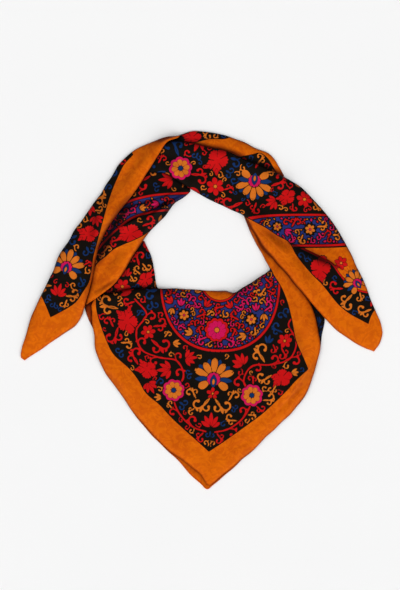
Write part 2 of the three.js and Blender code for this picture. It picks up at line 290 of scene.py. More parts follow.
# Painted shade along the creases that are pressed into the cloth, as lines. Columns: from x, from y, to x,
# to y, darkness, half width
PAINTED_CREASE_SHADE = {
    "outer_tail": [
        (-77, 129, -108, 84, 0.9, 4.6), (-90, 111, -119, 58, 1.2, 5.2), (-106, 86, -122, 34, 1.2, 4.2),
        (-120, 50, -129, 8, 0.5, 3),
    ],
    "left_band": [
        (-14, 129, -76, 96, 0.9, 2.2), (-16, 131, -88, 112, 0.7, 2.2), (-22, 124, -56, 104, 0.6, 1.6),
        (-119, 19, -93, 35, 0.6, 2.0), (-73, 126, -110, 76, 1.2, 6), (-94, 98, -120, 48, 1.3, 6),
        (-60, 134, -20, 134, 0.5, 3),
    ],
    "neck_and_tail": [
        (-12, 133, -56, 152, 0.8, 2.4), (54, 98, 98, 64, 0.35, 8), (66, 90, 94, 70, 0.6, 5),
        (94, 73, 150, 47, 1.3, 4.2),
        (60, 170, 84, 150, 0.4, 3), (-30, 172, -44, 156, 0.3, 5),
    ],
    "front_panel": [
        (47, 99, 74, 46, 0.4, 6), (62, 88, 70, 62, 0.5, 1.4), (70, 62, 102, 31, 0.5, 1.4),
        (-114, 16, -70, 20, 0.4, 3), (100, -14, 112, -52, 0.25, 3), (96, -93, 119, -58, 0.3, 1.5),
        (-88, -2, -116, 12, 0.4, 3),
    ],
    "inner_rise": [(-104, 34, -70, 74, 0.7, 6), (-100, 16, -50, 21, 0.6, 4)],
    "back_band": [(-30, 186, 20, 188, 0.3, 2), (42, 168, 88, 146, 0.6, 4)],
    "turned_fold": [(-116, 16, -117, -20, 0.6, 4)],
}
print("pieces with pressed creases:", len(PAINTED_CREASE_SHADE))

# %% [markdown]
# ## Smooth edges
# A cut and folded edge has no corners, so the edges are curves through the ends of the cross
# lines. This is the centripetal curve, which doesn't overshoot where points lie close.

# %% A curve through points
def smooth_line(points, places):
    """Values of a centripetal curve through points, at places counted in points."""
    points = np.asarray(points, dtype=float)
    first = 2 * points[0] - points[1]
    last = 2 * points[-1] - points[-2]
    padded = np.vstack([first, points, last])
    cell = np.clip(np.floor(places).astype(int), 0, len(points) - 2)
    part = (places - cell)[:, None]
    p0, p1, p2, p3 = (padded[cell + k] for k in range(4))
    gap0, gap1, gap2 = (
        np.maximum(np.sqrt(np.linalg.norm(b - a, axis=1)), 1e-6)[:, None]
        for a, b in ((p0, p1), (p1, p2), (p2, p3))
    )
    leave = ((p1 - p0) / gap0 - (p2 - p0) / (gap0 + gap1) + (p2 - p1) / gap1) * gap1
    arrive = ((p2 - p1) / gap1 - (p3 - p1) / (gap1 + gap2) + (p3 - p2) / gap2) * gap1
    square = -3 * p1 + 3 * p2 - 2 * leave - arrive
    cube = 2 * p1 - 2 * p2 + leave + arrive
    return p1 + part * (leave + part * (square + part * cube))


def smooth_path(points, step=2.0):
    """Points about a step apart on the smooth curve through points."""
    points = np.asarray(points, dtype=float)
    length = np.linalg.norm(np.diff(points, axis=0), axis=1).sum()
    count = max(8, int(length / step))
    return smooth_line(points, np.linspace(0, len(points) - 1, count))


print("half way on a curve:", smooth_line([(0, 0), (1, 1), (2, 0)], np.array([0.5])).round(2))

# %% [markdown]
# ## Soft unevenness
# Cloth has small waves that follow no rule. A grid of random heights, read with smooth
# blending, gives waves of any size. The random numbers are seeded, so each run is the same.

# %% Smooth random waves
TABLE_REACH = 230.0     # the maps below cover this far from the origin, in mm


def read_grid(grid, ix, iy, tx, ty):
    """A grid read between its cells: tx and ty are the parts of the way to the next ones."""
    low = grid[ix, iy] * (1 - tx) + grid[ix + 1, iy] * tx
    high = grid[ix, iy + 1] * (1 - tx) + grid[ix + 1, iy + 1] * tx
    return low * (1 - ty) + high * ty


class Waves:
    """Smooth random heights between about -1 and 1, with humps about size mm across."""

    def __init__(self, size, seed):
        self.size = size
        count = int(2 * TABLE_REACH / size) + 4
        self.heights = np.random.default_rng(seed).uniform(-1, 1, (count, count))

    def at(self, x, y):
        fx = (np.asarray(x) + TABLE_REACH) / self.size
        fy = (np.asarray(y) + TABLE_REACH) / self.size
        limit = self.heights.shape[0] - 2
        ix = np.clip(np.floor(fx).astype(int), 0, limit)
        iy = np.clip(np.floor(fy).astype(int), 0, limit)
        tx = np.clip(fx - ix, 0, 1)
        ty = np.clip(fy - iy, 0, 1)
        return read_grid(self.heights, ix, iy, tx * tx * (3 - 2 * tx), ty * ty * (3 - 2 * ty))


# Columns: height in mm, waves
CLOTH_WAVES = ((0.6, Waves(34, 11)), (0.4, Waves(15, 12)), (0.1, Waves(6, 13)))
EDGE_WAVES = Waves(17, 14)
print("edge wave at the origin:", round(float(EDGE_WAVES.at(0, 0)), 3))

# %% [markdown]
# ## What lies under
# Each stretch rests on the table and on the stretches laid before it. A map of the table, one
# cell to a millimetre, keeps the height of what is laid so far. Cloth lies level just past an
# edge below it, then slopes to the table, because thin silk bends over an edge in a soft slope.

# %% The map of what is laid
GAP = 0.3               # between a stretch and what it lies on
LEVEL_REACH = 2         # how far cloth stays level past an edge below it
FALL = 0.40             # how steeply it slopes down past that
FALL_STEPS = 34
BASE_BLUR = 12          # how often the slope is smoothed
MAP_CELLS = int(2 * TABLE_REACH) + 1
laid_height = np.zeros((MAP_CELLS, MAP_CELLS))


def shifted(field, dx, dy):
    """The field moved by whole cells, with its rim repeated."""
    padded = np.pad(field, 1, mode="edge")
    return padded[1 + dx:1 + dx + field.shape[0], 1 + dy:1 + dy + field.shape[1]]


def blurred(field, times):
    for _ in range(times):
        field = (2 * field + shifted(field, 1, 0) + shifted(field, -1, 0)) / 4
        field = (2 * field + shifted(field, 0, 1) + shifted(field, 0, -1)) / 4
    return field


def resting_map():
    """The height at which the next stretch lies, over the whole table."""
    reach = laid_height + GAP * (laid_height > 0)
    around = [(dx, dy) for dx in (-1, 0, 1) for dy in (-1, 0, 1) if dx or dy]
    for step in range(FALL_STEPS):
        fall = 0.0 if step < LEVEL_REACH else FALL
        reach = np.maximum.reduce([reach] + [
            shifted(reach, dx, dy) - fall * math.hypot(dx, dy) for dx, dy in around])
    soft = blurred(np.maximum(reach, 0), BASE_BLUR)
    return np.maximum(soft, np.where(laid_height > 0, laid_height + GAP, 0))


def read_map(field, x, y):
    fx = np.clip(x + TABLE_REACH, 0, MAP_CELLS - 2)
    fy = np.clip(y + TABLE_REACH, 0, MAP_CELLS - 2)
    ix = fx.astype(int)
    iy = fy.astype(int)
    return read_grid(field, ix, iy, fx - ix, fy - iy)


def lay_down(x, y, z):
    """Adds the top of a stretch to the map."""
    ix = np.round(x + TABLE_REACH).astype(int)
    iy = np.round(y + TABLE_REACH).astype(int)
    np.maximum.at(laid_height, (ix, iy), z)


print("cells in the map:", MAP_CELLS * MAP_CELLS)

# %% [markdown]
# ## A skin for each stretch
# The layers hidden inside a fold never show, so each stretch is one closed skin: a fine top,
# edges that show two thin layers with a groove between them, and a plain underside. The top
# starts at the hem's thickness along both edges and rises to the crown, and the folds and
# waves are added to it. Columns crowd towards the edges, where the cloth curves most.

# %% Build a skin
HEM = 1.2               # thickness of the cloth at its edges
EDGE_CROWDING = 0.3     # how much closer the columns stand at the edges
EDGE_STEPS = 400        # steps by which the length of an edge is measured
UNDER_COLUMNS = 6
LAP_FALL = 1.1          # how soon a lapped fold has fallen off
EDGE_WANDER = 1.2       # how far an edge strays from its curve
FOLD_TAPER = 0.8        # below 1, a fold keeps its height for longer before it ends
# Share of the edge's height, and how far out it stands, from the top down
EDGE_LAYERS = ((0.78, 0.42), (0.52, -0.35), (0.26, 0.5))


def rounded_rise(distance, width):
    part = np.clip(distance / width, 0, 1)
    return np.sqrt(1 - (1 - part) ** 2)


def beside(x, y, from_x, from_y, to_x, to_y):
    """How far along a straight line each place is, how far from it, and if it is on the right."""
    line = np.array([to_x - from_x, to_y - from_y], dtype=float)
    along = np.clip(((x - from_x) * line[0] + (y - from_y) * line[1]) / line.dot(line), 0, 1)
    away_x = x - from_x - along * line[0]
    away_y = y - from_y - along * line[1]
    return along, np.hypot(away_x, away_y), away_x * line[1] - away_y * line[0] > 0


def fold_heights(folds, x, y):
    total = np.zeros_like(x)
    for *ends, height, width, lap in folds:
        along, away, on_right = beside(x, y, *ends)
        reach = np.where(on_right & (lap > 0), LAP_FALL, width)
        total += height * np.sin(np.pi * along) ** FOLD_TAPER * np.exp(-((away / reach) ** 2))
    return total


class Skin:
    """A closed skin over one stretch, as a grid of points with a closed loop for each row.

    Side a comes down to the table up to the first of the two tucked cross lines, and no longer
    does past the second.
    """

    def __init__(self, name, sections, folds, round_a, round_b, spacing, waves=1.0, tucked=None):
        self.name = name
        table = np.array(sections, dtype=float)
        sides = table[:, [0, 1, 4]], table[:, [2, 3, 4]]
        fine = np.linspace(0, len(table) - 1, EDGE_STEPS)
        steps = np.maximum.reduce([
            np.linalg.norm(np.diff(smooth_line(side, fine)[:, :2], axis=0), axis=1) for side in sides])
        run = np.concatenate([[0], np.cumsum(steps)])
        self.places = np.interp(np.linspace(0, run[-1], int(run[-1] / spacing)), run, fine)
        edge_a, edge_b = (smooth_line(side, self.places) for side in sides)
        width = np.linalg.norm(edge_b[:, :2] - edge_a[:, :2], axis=1)[:, None]
        columns = int(width.max() * (1 + EDGE_CROWDING) / spacing)
        even = np.linspace(0, 1, columns)
        across = (even - EDGE_CROWDING * np.sin(2 * np.pi * even) / (2 * np.pi))[None, :]
        x = edge_a[:, :1] * (1 - across) + edge_b[:, :1] * across
        y = edge_a[:, 1:2] * (1 - across) + edge_b[:, 1:2] * across
        rim = EDGE_WANDER * np.cos(np.pi * across) ** 2
        x, y = x + rim * EDGE_WAVES.at(x, y), y + rim * EDGE_WAVES.at(y, x)
        crown = edge_a[:, 2:3] * (1 - across) + edge_b[:, 2:3] * across
        rise = rounded_rise(across * width, np.minimum(round_a, width / 2))
        rise = rise * rounded_rise((1 - across) * width, np.minimum(round_b, width / 2))
        shape = crown - HEM + fold_heights(folds, x, y)
        shape = shape + waves * sum(height * wave.at(x, y) for height, wave in CLOTH_WAVES)
        thickness = HEM + np.maximum(0, shape * rise)
        base = read_map(resting_map(), x, y)
        if tucked:
            part = (tucked[1] - self.places[:, None]) / (tucked[1] - tucked[0])
            down = np.clip(part, 0, 1) * (1 - across) ** 2
            under = read_map(laid_height, x, y)
            base = np.maximum(base * (1 - down), np.where(under > 0, under + GAP, 0))
        self.top = np.stack([x, y, base + thickness], axis=2)
        self.foot = np.stack([x, y, base], axis=2)
        lay_down(x.ravel(), y.ravel(), (base + thickness).ravel())

    def edge_points(self, edge, inner):
        """The layers of one edge, from the top down, as points that stand out or back."""
        top, foot = self.top, self.foot
        out = top[:, edge, :2] - top[:, inner, :2]
        out = out / np.maximum(np.linalg.norm(out, axis=1, keepdims=True), 1e-9)
        layers = []
        for share, stands_out in EDGE_LAYERS:
            layer = top[:, edge] * share + foot[:, edge] * (1 - share)
            layer[:, :2] += stands_out * out
            layers.append(layer)
        return layers

    def loops(self):
        """One closed loop of points for each row: top, side b, underside, side a."""
        side_b = np.stack(self.edge_points(-1, -2), axis=1)
        side_a = np.stack(self.edge_points(0, 1)[::-1], axis=1)
        picked = np.linspace(self.foot.shape[1] - 1, 0, UNDER_COLUMNS).round().astype(int)
        return np.concatenate([self.top, side_b, self.foot[:, picked], side_a], axis=1)

    def mesh_object(self):
        loops = self.loops()
        rows, columns = loops.shape[:2]
        corner = np.arange(rows * columns).reshape(rows, columns)
        around = np.roll(corner, -1, axis=1)
        quads = np.stack([corner[:-1], corner[1:], around[1:], around[:-1]], axis=2).reshape(-1, 4)
        faces = quads.tolist() + [corner[0].tolist(), corner[-1][::-1].tolist()]
        mesh = bpy.data.meshes.new(self.name)
        points = loops.reshape(-1, 3)
        if signed_volume(points, quads) < 0:
            faces = [face[::-1] for face in faces]
        mesh.from_pydata((points * MM).tolist(), [], faces)
        mesh.polygons.foreach_set("use_smooth", [True] * len(mesh.polygons))
        mesh.update()
        self.points = points
        print(self.name, "faces:", len(mesh.polygons), "highest mm:", round(points[:, 2].max(), 1))
        return new_object(self.name, mesh)


def signed_volume(points, quads):
    a, b, c, d = (points[quads[:, k]] for k in range(4))
    return float(np.einsum("ij,ij->i", a, np.cross(b, c)).sum()
                 + np.einsum("ij,ij->i", a, np.cross(c, d)).sum()) / 6


# %% [markdown]
# ## Lay the stretches
# They are laid in the order in which the scarf was folded, from the table upwards, so that
# each one finds what is under it. The front and the strip beside the opening are one layer,
# and so are the stretch over the neck and the right tail, so each of these is one skin.

# %% Lay every stretch
# Columns: cross lines, folds, how wide sides a and b round off, spacing of points, waves, tucked
STRETCHES = {
    "under_layer": (FRONT_UNDER, [], 2, 2, 2.2, 0),
    "inner_rise": (LEFT_RISE, RISE_FOLDS, 10, 7, 0.9),
    "turned_fold": (LEFT_TURN, [], 4, 4, 1.0, 0.4),
    "front_panel": (FRONT, FRONT_FOLDS, 26, 9, 1.32),
    "left_band": (LEFT_STRETCH, LEFT_STRETCH_FOLDS, 14, 8, 0.85),
    "back_band": (BACK, BACK_FOLDS, 9, 8, 0.85),
    "neck_and_tail": (NECK_AND_TAIL, NECK_FOLDS, 10, 14, 0.85),
    "outer_tail": (LEFT_TAIL, LEFT_TAIL_FOLDS, 10, 12, 0.85, 1.0, (1.6, 3.6)),
}
skins = {name: Skin(name, *row) for name, row in STRETCHES.items()}
pieces = {name: skin.mesh_object() for name, skin in skins.items()}
print("points of cloth:", sum(len(skin.points) for skin in skins.values()))

# %% [markdown]
# Thin silk presses into its creases, and little light gets there, so the shade there is painted into
# the colour. How far each point lies below the cloth round it, and how near it is to a line of painted
# shade, is kept on the points, and the materials darken by it.

# %% Depth in the creases
# Columns: how far round in mm, height that is no crease, height of the darkest crease
CREASES = ((4, 1.2, 6.5), (2, 0.8, 3.2))
CREASE_TAPER = 0.5      # as of the folds, for the lines of painted shade along the creases
lofty = []
for reach, _, _ in CREASES:
    over = laid_height
    for _ in range(reach):
        over = np.maximum.reduce([shifted(over, dx, dy) for dx in (-1, 0, 1) for dy in (-1, 0, 1)])
    lofty.append(blurred(over, reach))


def store_crease_shade(name, thing, points):
    """Keeps on the points of a piece, or of its hem, how much painted crease shade each one gets."""
    x, y, z = points.T
    depth = np.zeros(len(x))
    for over, (_, least, most) in zip(lofty, CREASES):
        depth = np.maximum(depth, np.clip((read_map(over, x, y) - z - least) / (most - least), 0, 1))
    # Lines of painted shade darken the cloth along the listed creases
    for *ends, dark, width in PAINTED_CREASE_SHADE.get(name, []):
        along, away, _ = beside(x, y, *ends)
        painted_line_shade = dark * np.sin(np.pi * along) ** CREASE_TAPER * np.exp(-((away / width) ** 2))
        depth = np.maximum(depth, painted_line_shade)
    attribute = thing.data.attributes.new("crease", "FLOAT", "POINT")
    attribute.data.foreach_set("value", depth.astype(np.float32))
    return float(depth.max())


for name, skin in skins.items():
    print(name, "deepest crease:", round(store_crease_shade(name, pieces[name], skin.points), 2))

# %% [markdown]
# ## Distances for the print
# A printed shape is stored as a distance: below zero inside it, above zero outside. The points
# of the cloth keep one distance for each ink, and the material turns it into a crisp edge, so
# the print stays sharp close up.

# %% Distances to lines and outlines
FAR = 50.0
MOST_AT_ONCE = 400000


def distance_to_line(xy, line):
    """Distance from each place to a line of points, and how far along it the nearest one is."""
    start = line[:-1]
    run = np.diff(line, axis=0)
    length = np.maximum((run * run).sum(axis=1), 1e-9)
    away = np.empty(len(xy))
    along = np.empty(len(xy))
    block = max(1, MOST_AT_ONCE // len(run))
    for first in range(0, len(xy), block):
        rel = xy[first:first + block, None, :] - start
        part = np.clip((rel * run).sum(axis=2) / length, 0, 1)
        gap = np.hypot(rel[..., 0] - part * run[:, 0], rel[..., 1] - part * run[:, 1])
        nearest = gap.argmin(axis=1)
        rows = np.arange(len(nearest))
        away[first:first + block] = gap[rows, nearest]
        along[first:first + block] = (nearest + part[rows, nearest]) / len(run)
    return away, along


def distance_to_outline(xy, outline):
    """Distance to a closed outline, below zero inside it."""
    closed = np.vstack([outline, outline[:1]])
    away, _ = distance_to_line(xy, closed)
    inside = np.zeros(len(xy), dtype=bool)
    for (x0, y0), (x1, y1) in zip(closed[:-1], closed[1:]):
        if y0 == y1:
            continue
        crosses = (y0 > xy[:, 1]) != (y1 > xy[:, 1])
        inside ^= crosses & (xy[:, 0] < (x1 - x0) * (xy[:, 1] - y0) / (y1 - y0) + x0)
    return np.where(inside, -away, away)


unit_square = np.array([[-1, -1], [1, -1], [1, 1], [-1, 1]], dtype=float)
print("middle of a square:", distance_to_outline(np.array([[0.0, 0.0]]), unit_square))

# %% [markdown]
# ## The inks
# The print has a near black ground with red, pink, ochre, blue and violet drawn on it, and
# plain orange for the border. Each motif clears a thin dark line round itself, as a screen
# print does, so that neighbours don't run together. The design is laid out from a corner of
# the square: v runs up the diagonal from the corner of the printed field, and u across it.
# Each piece says where that corner lies on it and which way the diagonal goes.

# %% Inks on a piece of cloth
INKS = ("orange", "violet", "red", "ochre", "blue", "pink")
VIOLET_GAP = 0.5        # how much wider the dark outline is on the violet


class Print:
    """The distances of each ink at the points of one piece, seen from a corner of the square."""

    def __init__(self, points, corner, towards):
        self.corner = np.array(corner, dtype=float)
        v_way = np.array(towards, dtype=float) - self.corner
        v_way = v_way / np.linalg.norm(v_way)
        self.ways = np.array([[v_way[1], -v_way[0]], v_way])
        self.laid = np.ascontiguousarray(points[:, :2])
        self.uv = (self.laid - self.corner) @ self.ways.T
        self.inks = {ink: np.full(len(self.uv), FAR) for ink in INKS}
        self.taken = np.zeros((0, 3))

    def laid_place(self, uv):
        """Where places of the design lie on the table."""
        return np.asarray(uv) @ self.ways + self.corner

    def design_place(self, x, y):
        u, v = self.ways @ (np.array([x, y], dtype=float) - self.corner)
        return float(u), float(v)

    def near(self, u, v, reach):
        close = (np.abs(self.uv[:, 0] - u) < reach) & (np.abs(self.uv[:, 1] - v) < reach)
        return np.nonzero(close)[0]

    def lay(self, ink, picked, distance, outline=0.5, merge=False):
        """Prints a shape over what is there, with a dark outline, or run into the same ink."""
        for other, values in self.inks.items():
            if not (merge and other == ink):
                rim = outline + (VIOLET_GAP if other == "violet" else 0)
                values[picked] = np.maximum(values[picked], rim - distance)
        self.inks[ink][picked] = np.minimum(self.inks[ink][picked], distance)

    def ground(self, ink, distance):
        self.inks[ink] = np.minimum(self.inks[ink], distance)

    def clear(self, distance):
        for ink in INKS:
            self.inks[ink] = np.maximum(self.inks[ink], -distance)

    def blank(self, picked, distance):
        """Leaves the dark ground bare inside a shape."""
        for values in self.inks.values():
            values[picked] = np.maximum(values[picked], -distance)

    def take(self, u, v, radius):
        self.taken = np.vstack([self.taken, (u, v, radius)])

    def room(self, u, v):
        """How much room there is round a place, and which way leads away from its neighbour."""
        if not len(self.taken):
            return FAR, None
        gaps = np.hypot(self.taken[:, 0] - u, self.taken[:, 1] - v) - self.taken[:, 2]
        near = self.taken[gaps.argmin()]
        return gaps.min(), math.atan2(v - near[1], u - near[0])


print("inks:", ", ".join(INKS))

# %% [markdown]
# ## Motifs
# The motifs are those of any old flowered textile: curls with a bulb at the end, sprigs of
# two curls, round flowers, fans of petals, blossoms and leaves. Each is a small function that
# works in its own place and turn, so that it can be used at any size.

# %% Strokes, petals and discs
def stroke(print_, ink, line, start_width, end_width, outline=0.5):
    """A brush stroke along a line of points, from one width to another."""
    middle = (line.min(axis=0) + line.max(axis=0)) / 2
    reach = np.abs(line - middle).max() + max(start_width, end_width) + 2
    picked = print_.near(middle[0], middle[1], reach)
    if not len(picked):
        return
    away, along = distance_to_line(print_.uv[picked], line)
    half = (start_width * (1 - along) + end_width * along) / 2
    print_.lay(ink, picked, away - half, outline, merge=True)


def local(print_, u, v, turn, reach):
    """The points near a place, seen from it and turned."""
    picked = print_.near(u, v, reach)
    rel = print_.uv[picked] - (u, v)
    cos, sin = math.cos(turn), math.sin(turn)
    return picked, rel[:, 0] * cos + rel[:, 1] * sin, rel[:, 1] * cos - rel[:, 0] * sin


def petal(print_, ink, u, v, turn, start, length, width, outline=0.45, blunt=1.0, merge=False):
    """A petal that points away from a place. It is pointed, or widest near its end if blunt."""
    picked, along, across = local(print_, u, v, turn, abs(start) + length + 2)
    if not len(picked):
        return
    part = np.clip((along - start) / length, 0, 1)
    half = width / 2 * np.sin(np.pi * part ** blunt) ** (0.75 / blunt)
    beyond = np.maximum(start - along, along - start - length)
    print_.lay(ink, picked, np.maximum(np.abs(across) - half, beyond) * 0.8, outline, merge)


def disc(print_, ink, u, v, radius, lobes=0, depth=0.0, turn=0.0, outline=0.45, merge=False):
    """A round shape, with rounded lobes if their number is given."""
    picked, along, across = local(print_, u, v, turn, radius + depth + 2)
    if not len(picked):
        return
    angle = np.arctan2(across, along)
    edge = radius - depth + 1.6 * depth * np.abs(np.cos(lobes * angle / 2)) ** 0.7
    print_.lay(ink, picked, (np.hypot(along, across) - edge) * 0.85, outline, merge)


# %% Curls
CURL_TURN = 4.3         # how far a curl winds, in radians
CURL_CLOSES = 0.46      # how much of its radius it loses on the way
MOST_STROKE = 2.3       # the thickest stroke, in mm
LEAST_LEAFED = 2.2      # smaller curls have no leaf


def curl(print_, ink, base, centre, radius, hand, leaf=True):
    """A stem that leaves a base and winds round a centre, growing thicker to a bulb."""
    base = np.array(base, dtype=float)
    centre = np.array(centre, dtype=float)
    away = base - centre
    distance = max(np.linalg.norm(away), radius * 1.02)
    start = math.atan2(away[1], away[0]) + hand * math.acos(min(1.0, radius / distance))
    part = np.linspace(0, 1, 13)
    angle = start + hand * part * CURL_TURN
    size = radius * (1 - CURL_CLOSES * part)
    winding = centre + size[:, None] * np.stack([np.cos(angle), np.sin(angle)], axis=1)
    bend = 0.2 * (winding[0] - centre)
    stem = [base * (1 - share) + winding[0] * share + bend for share in (0.35, 0.7)]
    line = np.vstack([base, *stem, winding])
    thin = min(1.3, max(0.9, 0.22 * radius))
    thick = min(MOST_STROKE, 0.48 * radius)
    stroke(print_, ink, line, thin, thick)
    disc(print_, ink, line[-1, 0], line[-1, 1], 0.75 * thick, merge=True)
    if leaf and radius > LEAST_LEAFED:
        place = winding[3]
        out = math.atan2(*(place - centre)[::-1])
        petal(print_, ink, *place, out - hand * 0.8, 0, radius * 0.8, radius * 0.46, merge=True)


def turned(u, v, turn, along, across):
    cos, sin = math.cos(turn), math.sin(turn)
    return u + along * cos - across * sin, v + along * sin + across * cos


def lone_curl(print_, ink, u, v, radius, turn, hand):
    base = turned(u, v, turn, -radius * 1.05, 0)
    curl(print_, ink, base, turned(u, v, turn, radius * 0.12, hand * radius * 0.12), radius * 0.72, hand)


def sprig(print_, ink, u, v, radius, turn, hand):
    """Two curls of unlike size and a leaf from one stem, inside a circle."""
    base = turned(u, v, turn, -radius * 0.9, 0)
    curl(print_, ink, base, turned(u, v, turn, radius * 0.36, hand * radius * 0.4), radius * 0.5, hand)
    curl(print_, ink, base, turned(u, v, turn, -radius * 0.08, -hand * radius * 0.5), radius * 0.4, -hand)
    tip = turned(u, v, turn, radius * 0.05, -hand * radius * 0.05)
    petal(print_, ink, *tip, turn - hand * 0.5, 0, radius * 0.8, radius * 0.3, merge=True)


def twin_curls(print_, ink, u, v, radius, turn):
    """Two like curls that turn away from each other."""
    base = turned(u, v, turn, -radius * 0.6, 0)
    for hand in (-1, 1):
        curl(print_, ink, base, turned(u, v, turn, radius * 0.1, hand * radius * 0.52),
             radius * 0.46, hand, leaf=False)
    petal(print_, ink, *base, turn, -radius * 0.1, radius * 0.8, radius * 0.36, merge=True)


# %% [markdown]
# Flowers are built from petals and discs. A round flower has a lobed rim, a ring of petals
# and an eye. A fan is a flower seen from the side, over a heart with a drop. A blossom is one
# flat ink, with its petals parted by thin dark lines.

# %% Flowers and leaves
def petal_ring(print_, ink, u, v, turn, count, *shape, blunt):
    for i in range(count):
        petal(print_, ink, u, v, turn + 2 * np.pi * i / count, *shape, blunt=blunt)


def rosette(print_, u, v, radius, turn, rim="pink", petals="ochre", eye="blue", count=8):
    disc(print_, rim, u, v, radius * 0.96, lobes=count, depth=radius * 0.1, turn=turn, outline=0.9)
    petal_ring(print_, petals, u, v, turn, count,
               radius * 0.2, radius * 0.6, radius * 0.44, 0.28, blunt=1.5)
    disc(print_, eye, u, v, radius * 0.2, outline=0.45)


def star_flower(print_, u, v, radius, turn, ink="red", eye="ochre", count=6):
    petal_ring(print_, ink, u, v, turn, count, radius * 0.14, radius * 0.86, radius * 0.56, 0.4, blunt=1.3)
    disc(print_, eye, u, v, radius * 0.18, outline=0.4)


def blossom(print_, u, v, radius, turn, ink="red", count=5):
    """A flat flower of one ink, longer than wide, with ragged petals parted by dark lines."""
    picked, along, across = local(print_, u, v, turn, radius * 1.6)
    if not len(picked):
        return
    along, across = along / 1.16, across / 0.9
    angle = np.arctan2(across, along)
    lobes = np.abs(np.cos(count * angle / 2)) ** 0.5
    ragged = np.abs(np.cos(2.5 * count * angle + 0.4))
    edge = radius * (0.56 + 0.33 * lobes + 0.12 * ragged + 0.07 * np.cos(angle))
    print_.lay(ink, picked, (np.hypot(along, across) - edge) * 0.75, 0.7)
    for i in range(count):
        way = 2 * np.pi * (i + 0.5) / count
        line = np.array([(share * math.cos(way), share * math.sin(way)) for share in (0.3, 0.8)])
        away, _ = distance_to_line(np.stack([along, across], axis=1), line * radius)
        print_.inks[ink][picked] = np.maximum(print_.inks[ink][picked], 0.35 - away)
    for side in (-1, 1):
        petal(print_, ink, u, v, turn + np.pi + side * 0.5, radius * 0.7, radius * 0.6, radius * 0.3)


def medallion(print_, u, v, radius, turn):
    """A small flower on a dark ragged disc."""
    picked, along, across = local(print_, u, v, turn, radius + 2)
    edge = radius * (0.86 + 0.1 * np.cos(11 * np.arctan2(across, along)))
    print_.blank(picked, np.hypot(along, across) - edge)
    star_flower(print_, u, v, radius * 0.66, turn, ink="ochre", eye="pink")


def fan_flower(print_, u, v, radius, turn, spread=2.3):
    """Blunt ochre petals with blue between them, over a pink heart with a blue drop."""
    count = 5
    for i in range(count - 1):
        angle = turn + spread * ((i + 0.5) / (count - 1) - 0.5)
        petal(print_, "blue", u, v, angle, radius * 0.24, radius * 0.74, radius * 0.3, 0.7, blunt=1.2)
    for i in range(count):
        angle = turn + spread * (i / (count - 1) - 0.5)
        reach = radius * (0.82 - 0.12 * (i % 2))
        petal(print_, "ochre", u, v, angle, radius * 0.2, reach, radius * 0.31, 0.6, blunt=1.6)
        for side in (-1, 0, 1):
            end = turned(u, v, angle, radius * 0.24 + reach, side * radius * 0.12)
            picked, along, across = local(print_, *end, angle + side * 0.4, radius * 0.3)
            print_.blank(picked, np.maximum(np.abs(across) - 0.012 * radius, -along - radius * 0.16))
    for side in (-1, 1):
        petal(print_, "blue", u, v, turn + side * 1.62, radius * 0.2, radius * 0.7, radius * 0.24, 0.6)
        petal(print_, "ochre", u, v, turn + side * 2.15, radius * 0.2, radius * 0.62, radius * 0.36, 0.6,
              blunt=1.6)
    disc(print_, "pink", u, v, radius * 0.3, lobes=10, depth=radius * 0.04, turn=turn, outline=0.6)
    petal(print_, "blue", u, v, turn + np.pi, -radius * 0.2, radius * 0.62, radius * 0.3, 0.4)
    petal(print_, "ochre", u, v, turn + np.pi, -radius * 0.02, radius * 0.3, radius * 0.12, 0.3)


def leaf_spray(print_, ink, u, v, radius, turn, count=5):
    """Leaves that spread from one point, as of a bramble."""
    base = turned(u, v, turn, -radius * 0.6, 0)
    for i in range(count):
        side = i - (count - 1) / 2
        length = radius * (1.5 - 0.22 * abs(side))
        petal(print_, ink, *base, turn + side * 0.52, radius * 0.12, length, radius * 0.42, 0.4)


def bud(print_, ink, u, v, radius, turn):
    base = turned(u, v, turn, -radius * 0.85, 0)
    petal(print_, ink, *base, turn, 0, radius * 1.7, radius * 1.0)


print("curl winds through", round(math.degrees(CURL_TURN)), "degrees")

# %% [markdown]
# ## Filling a field
# A flowered field is planned from large to small: the vines and main flowers first, then
# sprigs, curls and leaves in what is left. Darts are thrown at the cloth from a seeded list of
# places, and a motif is printed where it finds room, and once more mirrored in the diagonal.

# %% Plan a field
def vine(print_, points, width=1.6, ink="red", branch=6.6, spacing=21.0):
    """A vine along a smooth line, with curls that leave it to both sides."""
    line = smooth_path(points, 2.5)
    pieces_of = 12
    for start in range(0, len(line) - 1, pieces_of):
        stroke(print_, ink, line[start:start + pieces_of + 1], width, width)
    for u, v in line[::2]:
        print_.take(u, v, 1.3)
    run = np.concatenate([[0], np.cumsum(np.linalg.norm(np.diff(line, axis=0), axis=1))])
    for i in range(int(run[-1] / spacing)):
        at = int(np.searchsorted(run, (i + 0.35) * spacing))
        ahead = min(at + 4, len(line) - 1)
        heading = line[ahead] - line[at]
        heading = heading / max(np.linalg.norm(heading), 1e-9)
        side = 1 if i % 2 else -1
        out = np.array([-heading[1], heading[0]]) * side
        radius = branch * (0.74, 0.6, 0.68)[i % 3]
        centre = line[ahead] + out * (radius + 1.6) + heading * radius * 0.3
        if print_.room(*centre)[0] > radius * 0.6:
            curl(print_, ink, line[at], centre, radius, side)
            print_.take(*centre, radius * 1.1)


def draw_any(print_, u, v, radius, choice, spin, hand, palette):
    """One motif of the size that fits, by chance."""
    ink = palette[int(choice * 997) % len(palette)]
    if radius >= 7.5 and choice > 0.8:
        leaf_spray(print_, "red", u, v, radius, spin)
    elif radius >= 4.6 and choice > 0.84:
        leaf_spray(print_, ink, u, v, radius, spin, count=3)
    elif radius >= 5.0 and choice > 0.66:
        twin_curls(print_, "blue" if "blue" in palette else ink, u, v, radius, spin)
    elif radius >= 4.6:
        sprig(print_, ink, u, v, radius, spin, hand)
    elif radius >= 2.2:
        lone_curl(print_, ink, u, v, radius, spin, hand)
    else:
        bud(print_, ink, u, v, radius, spin)


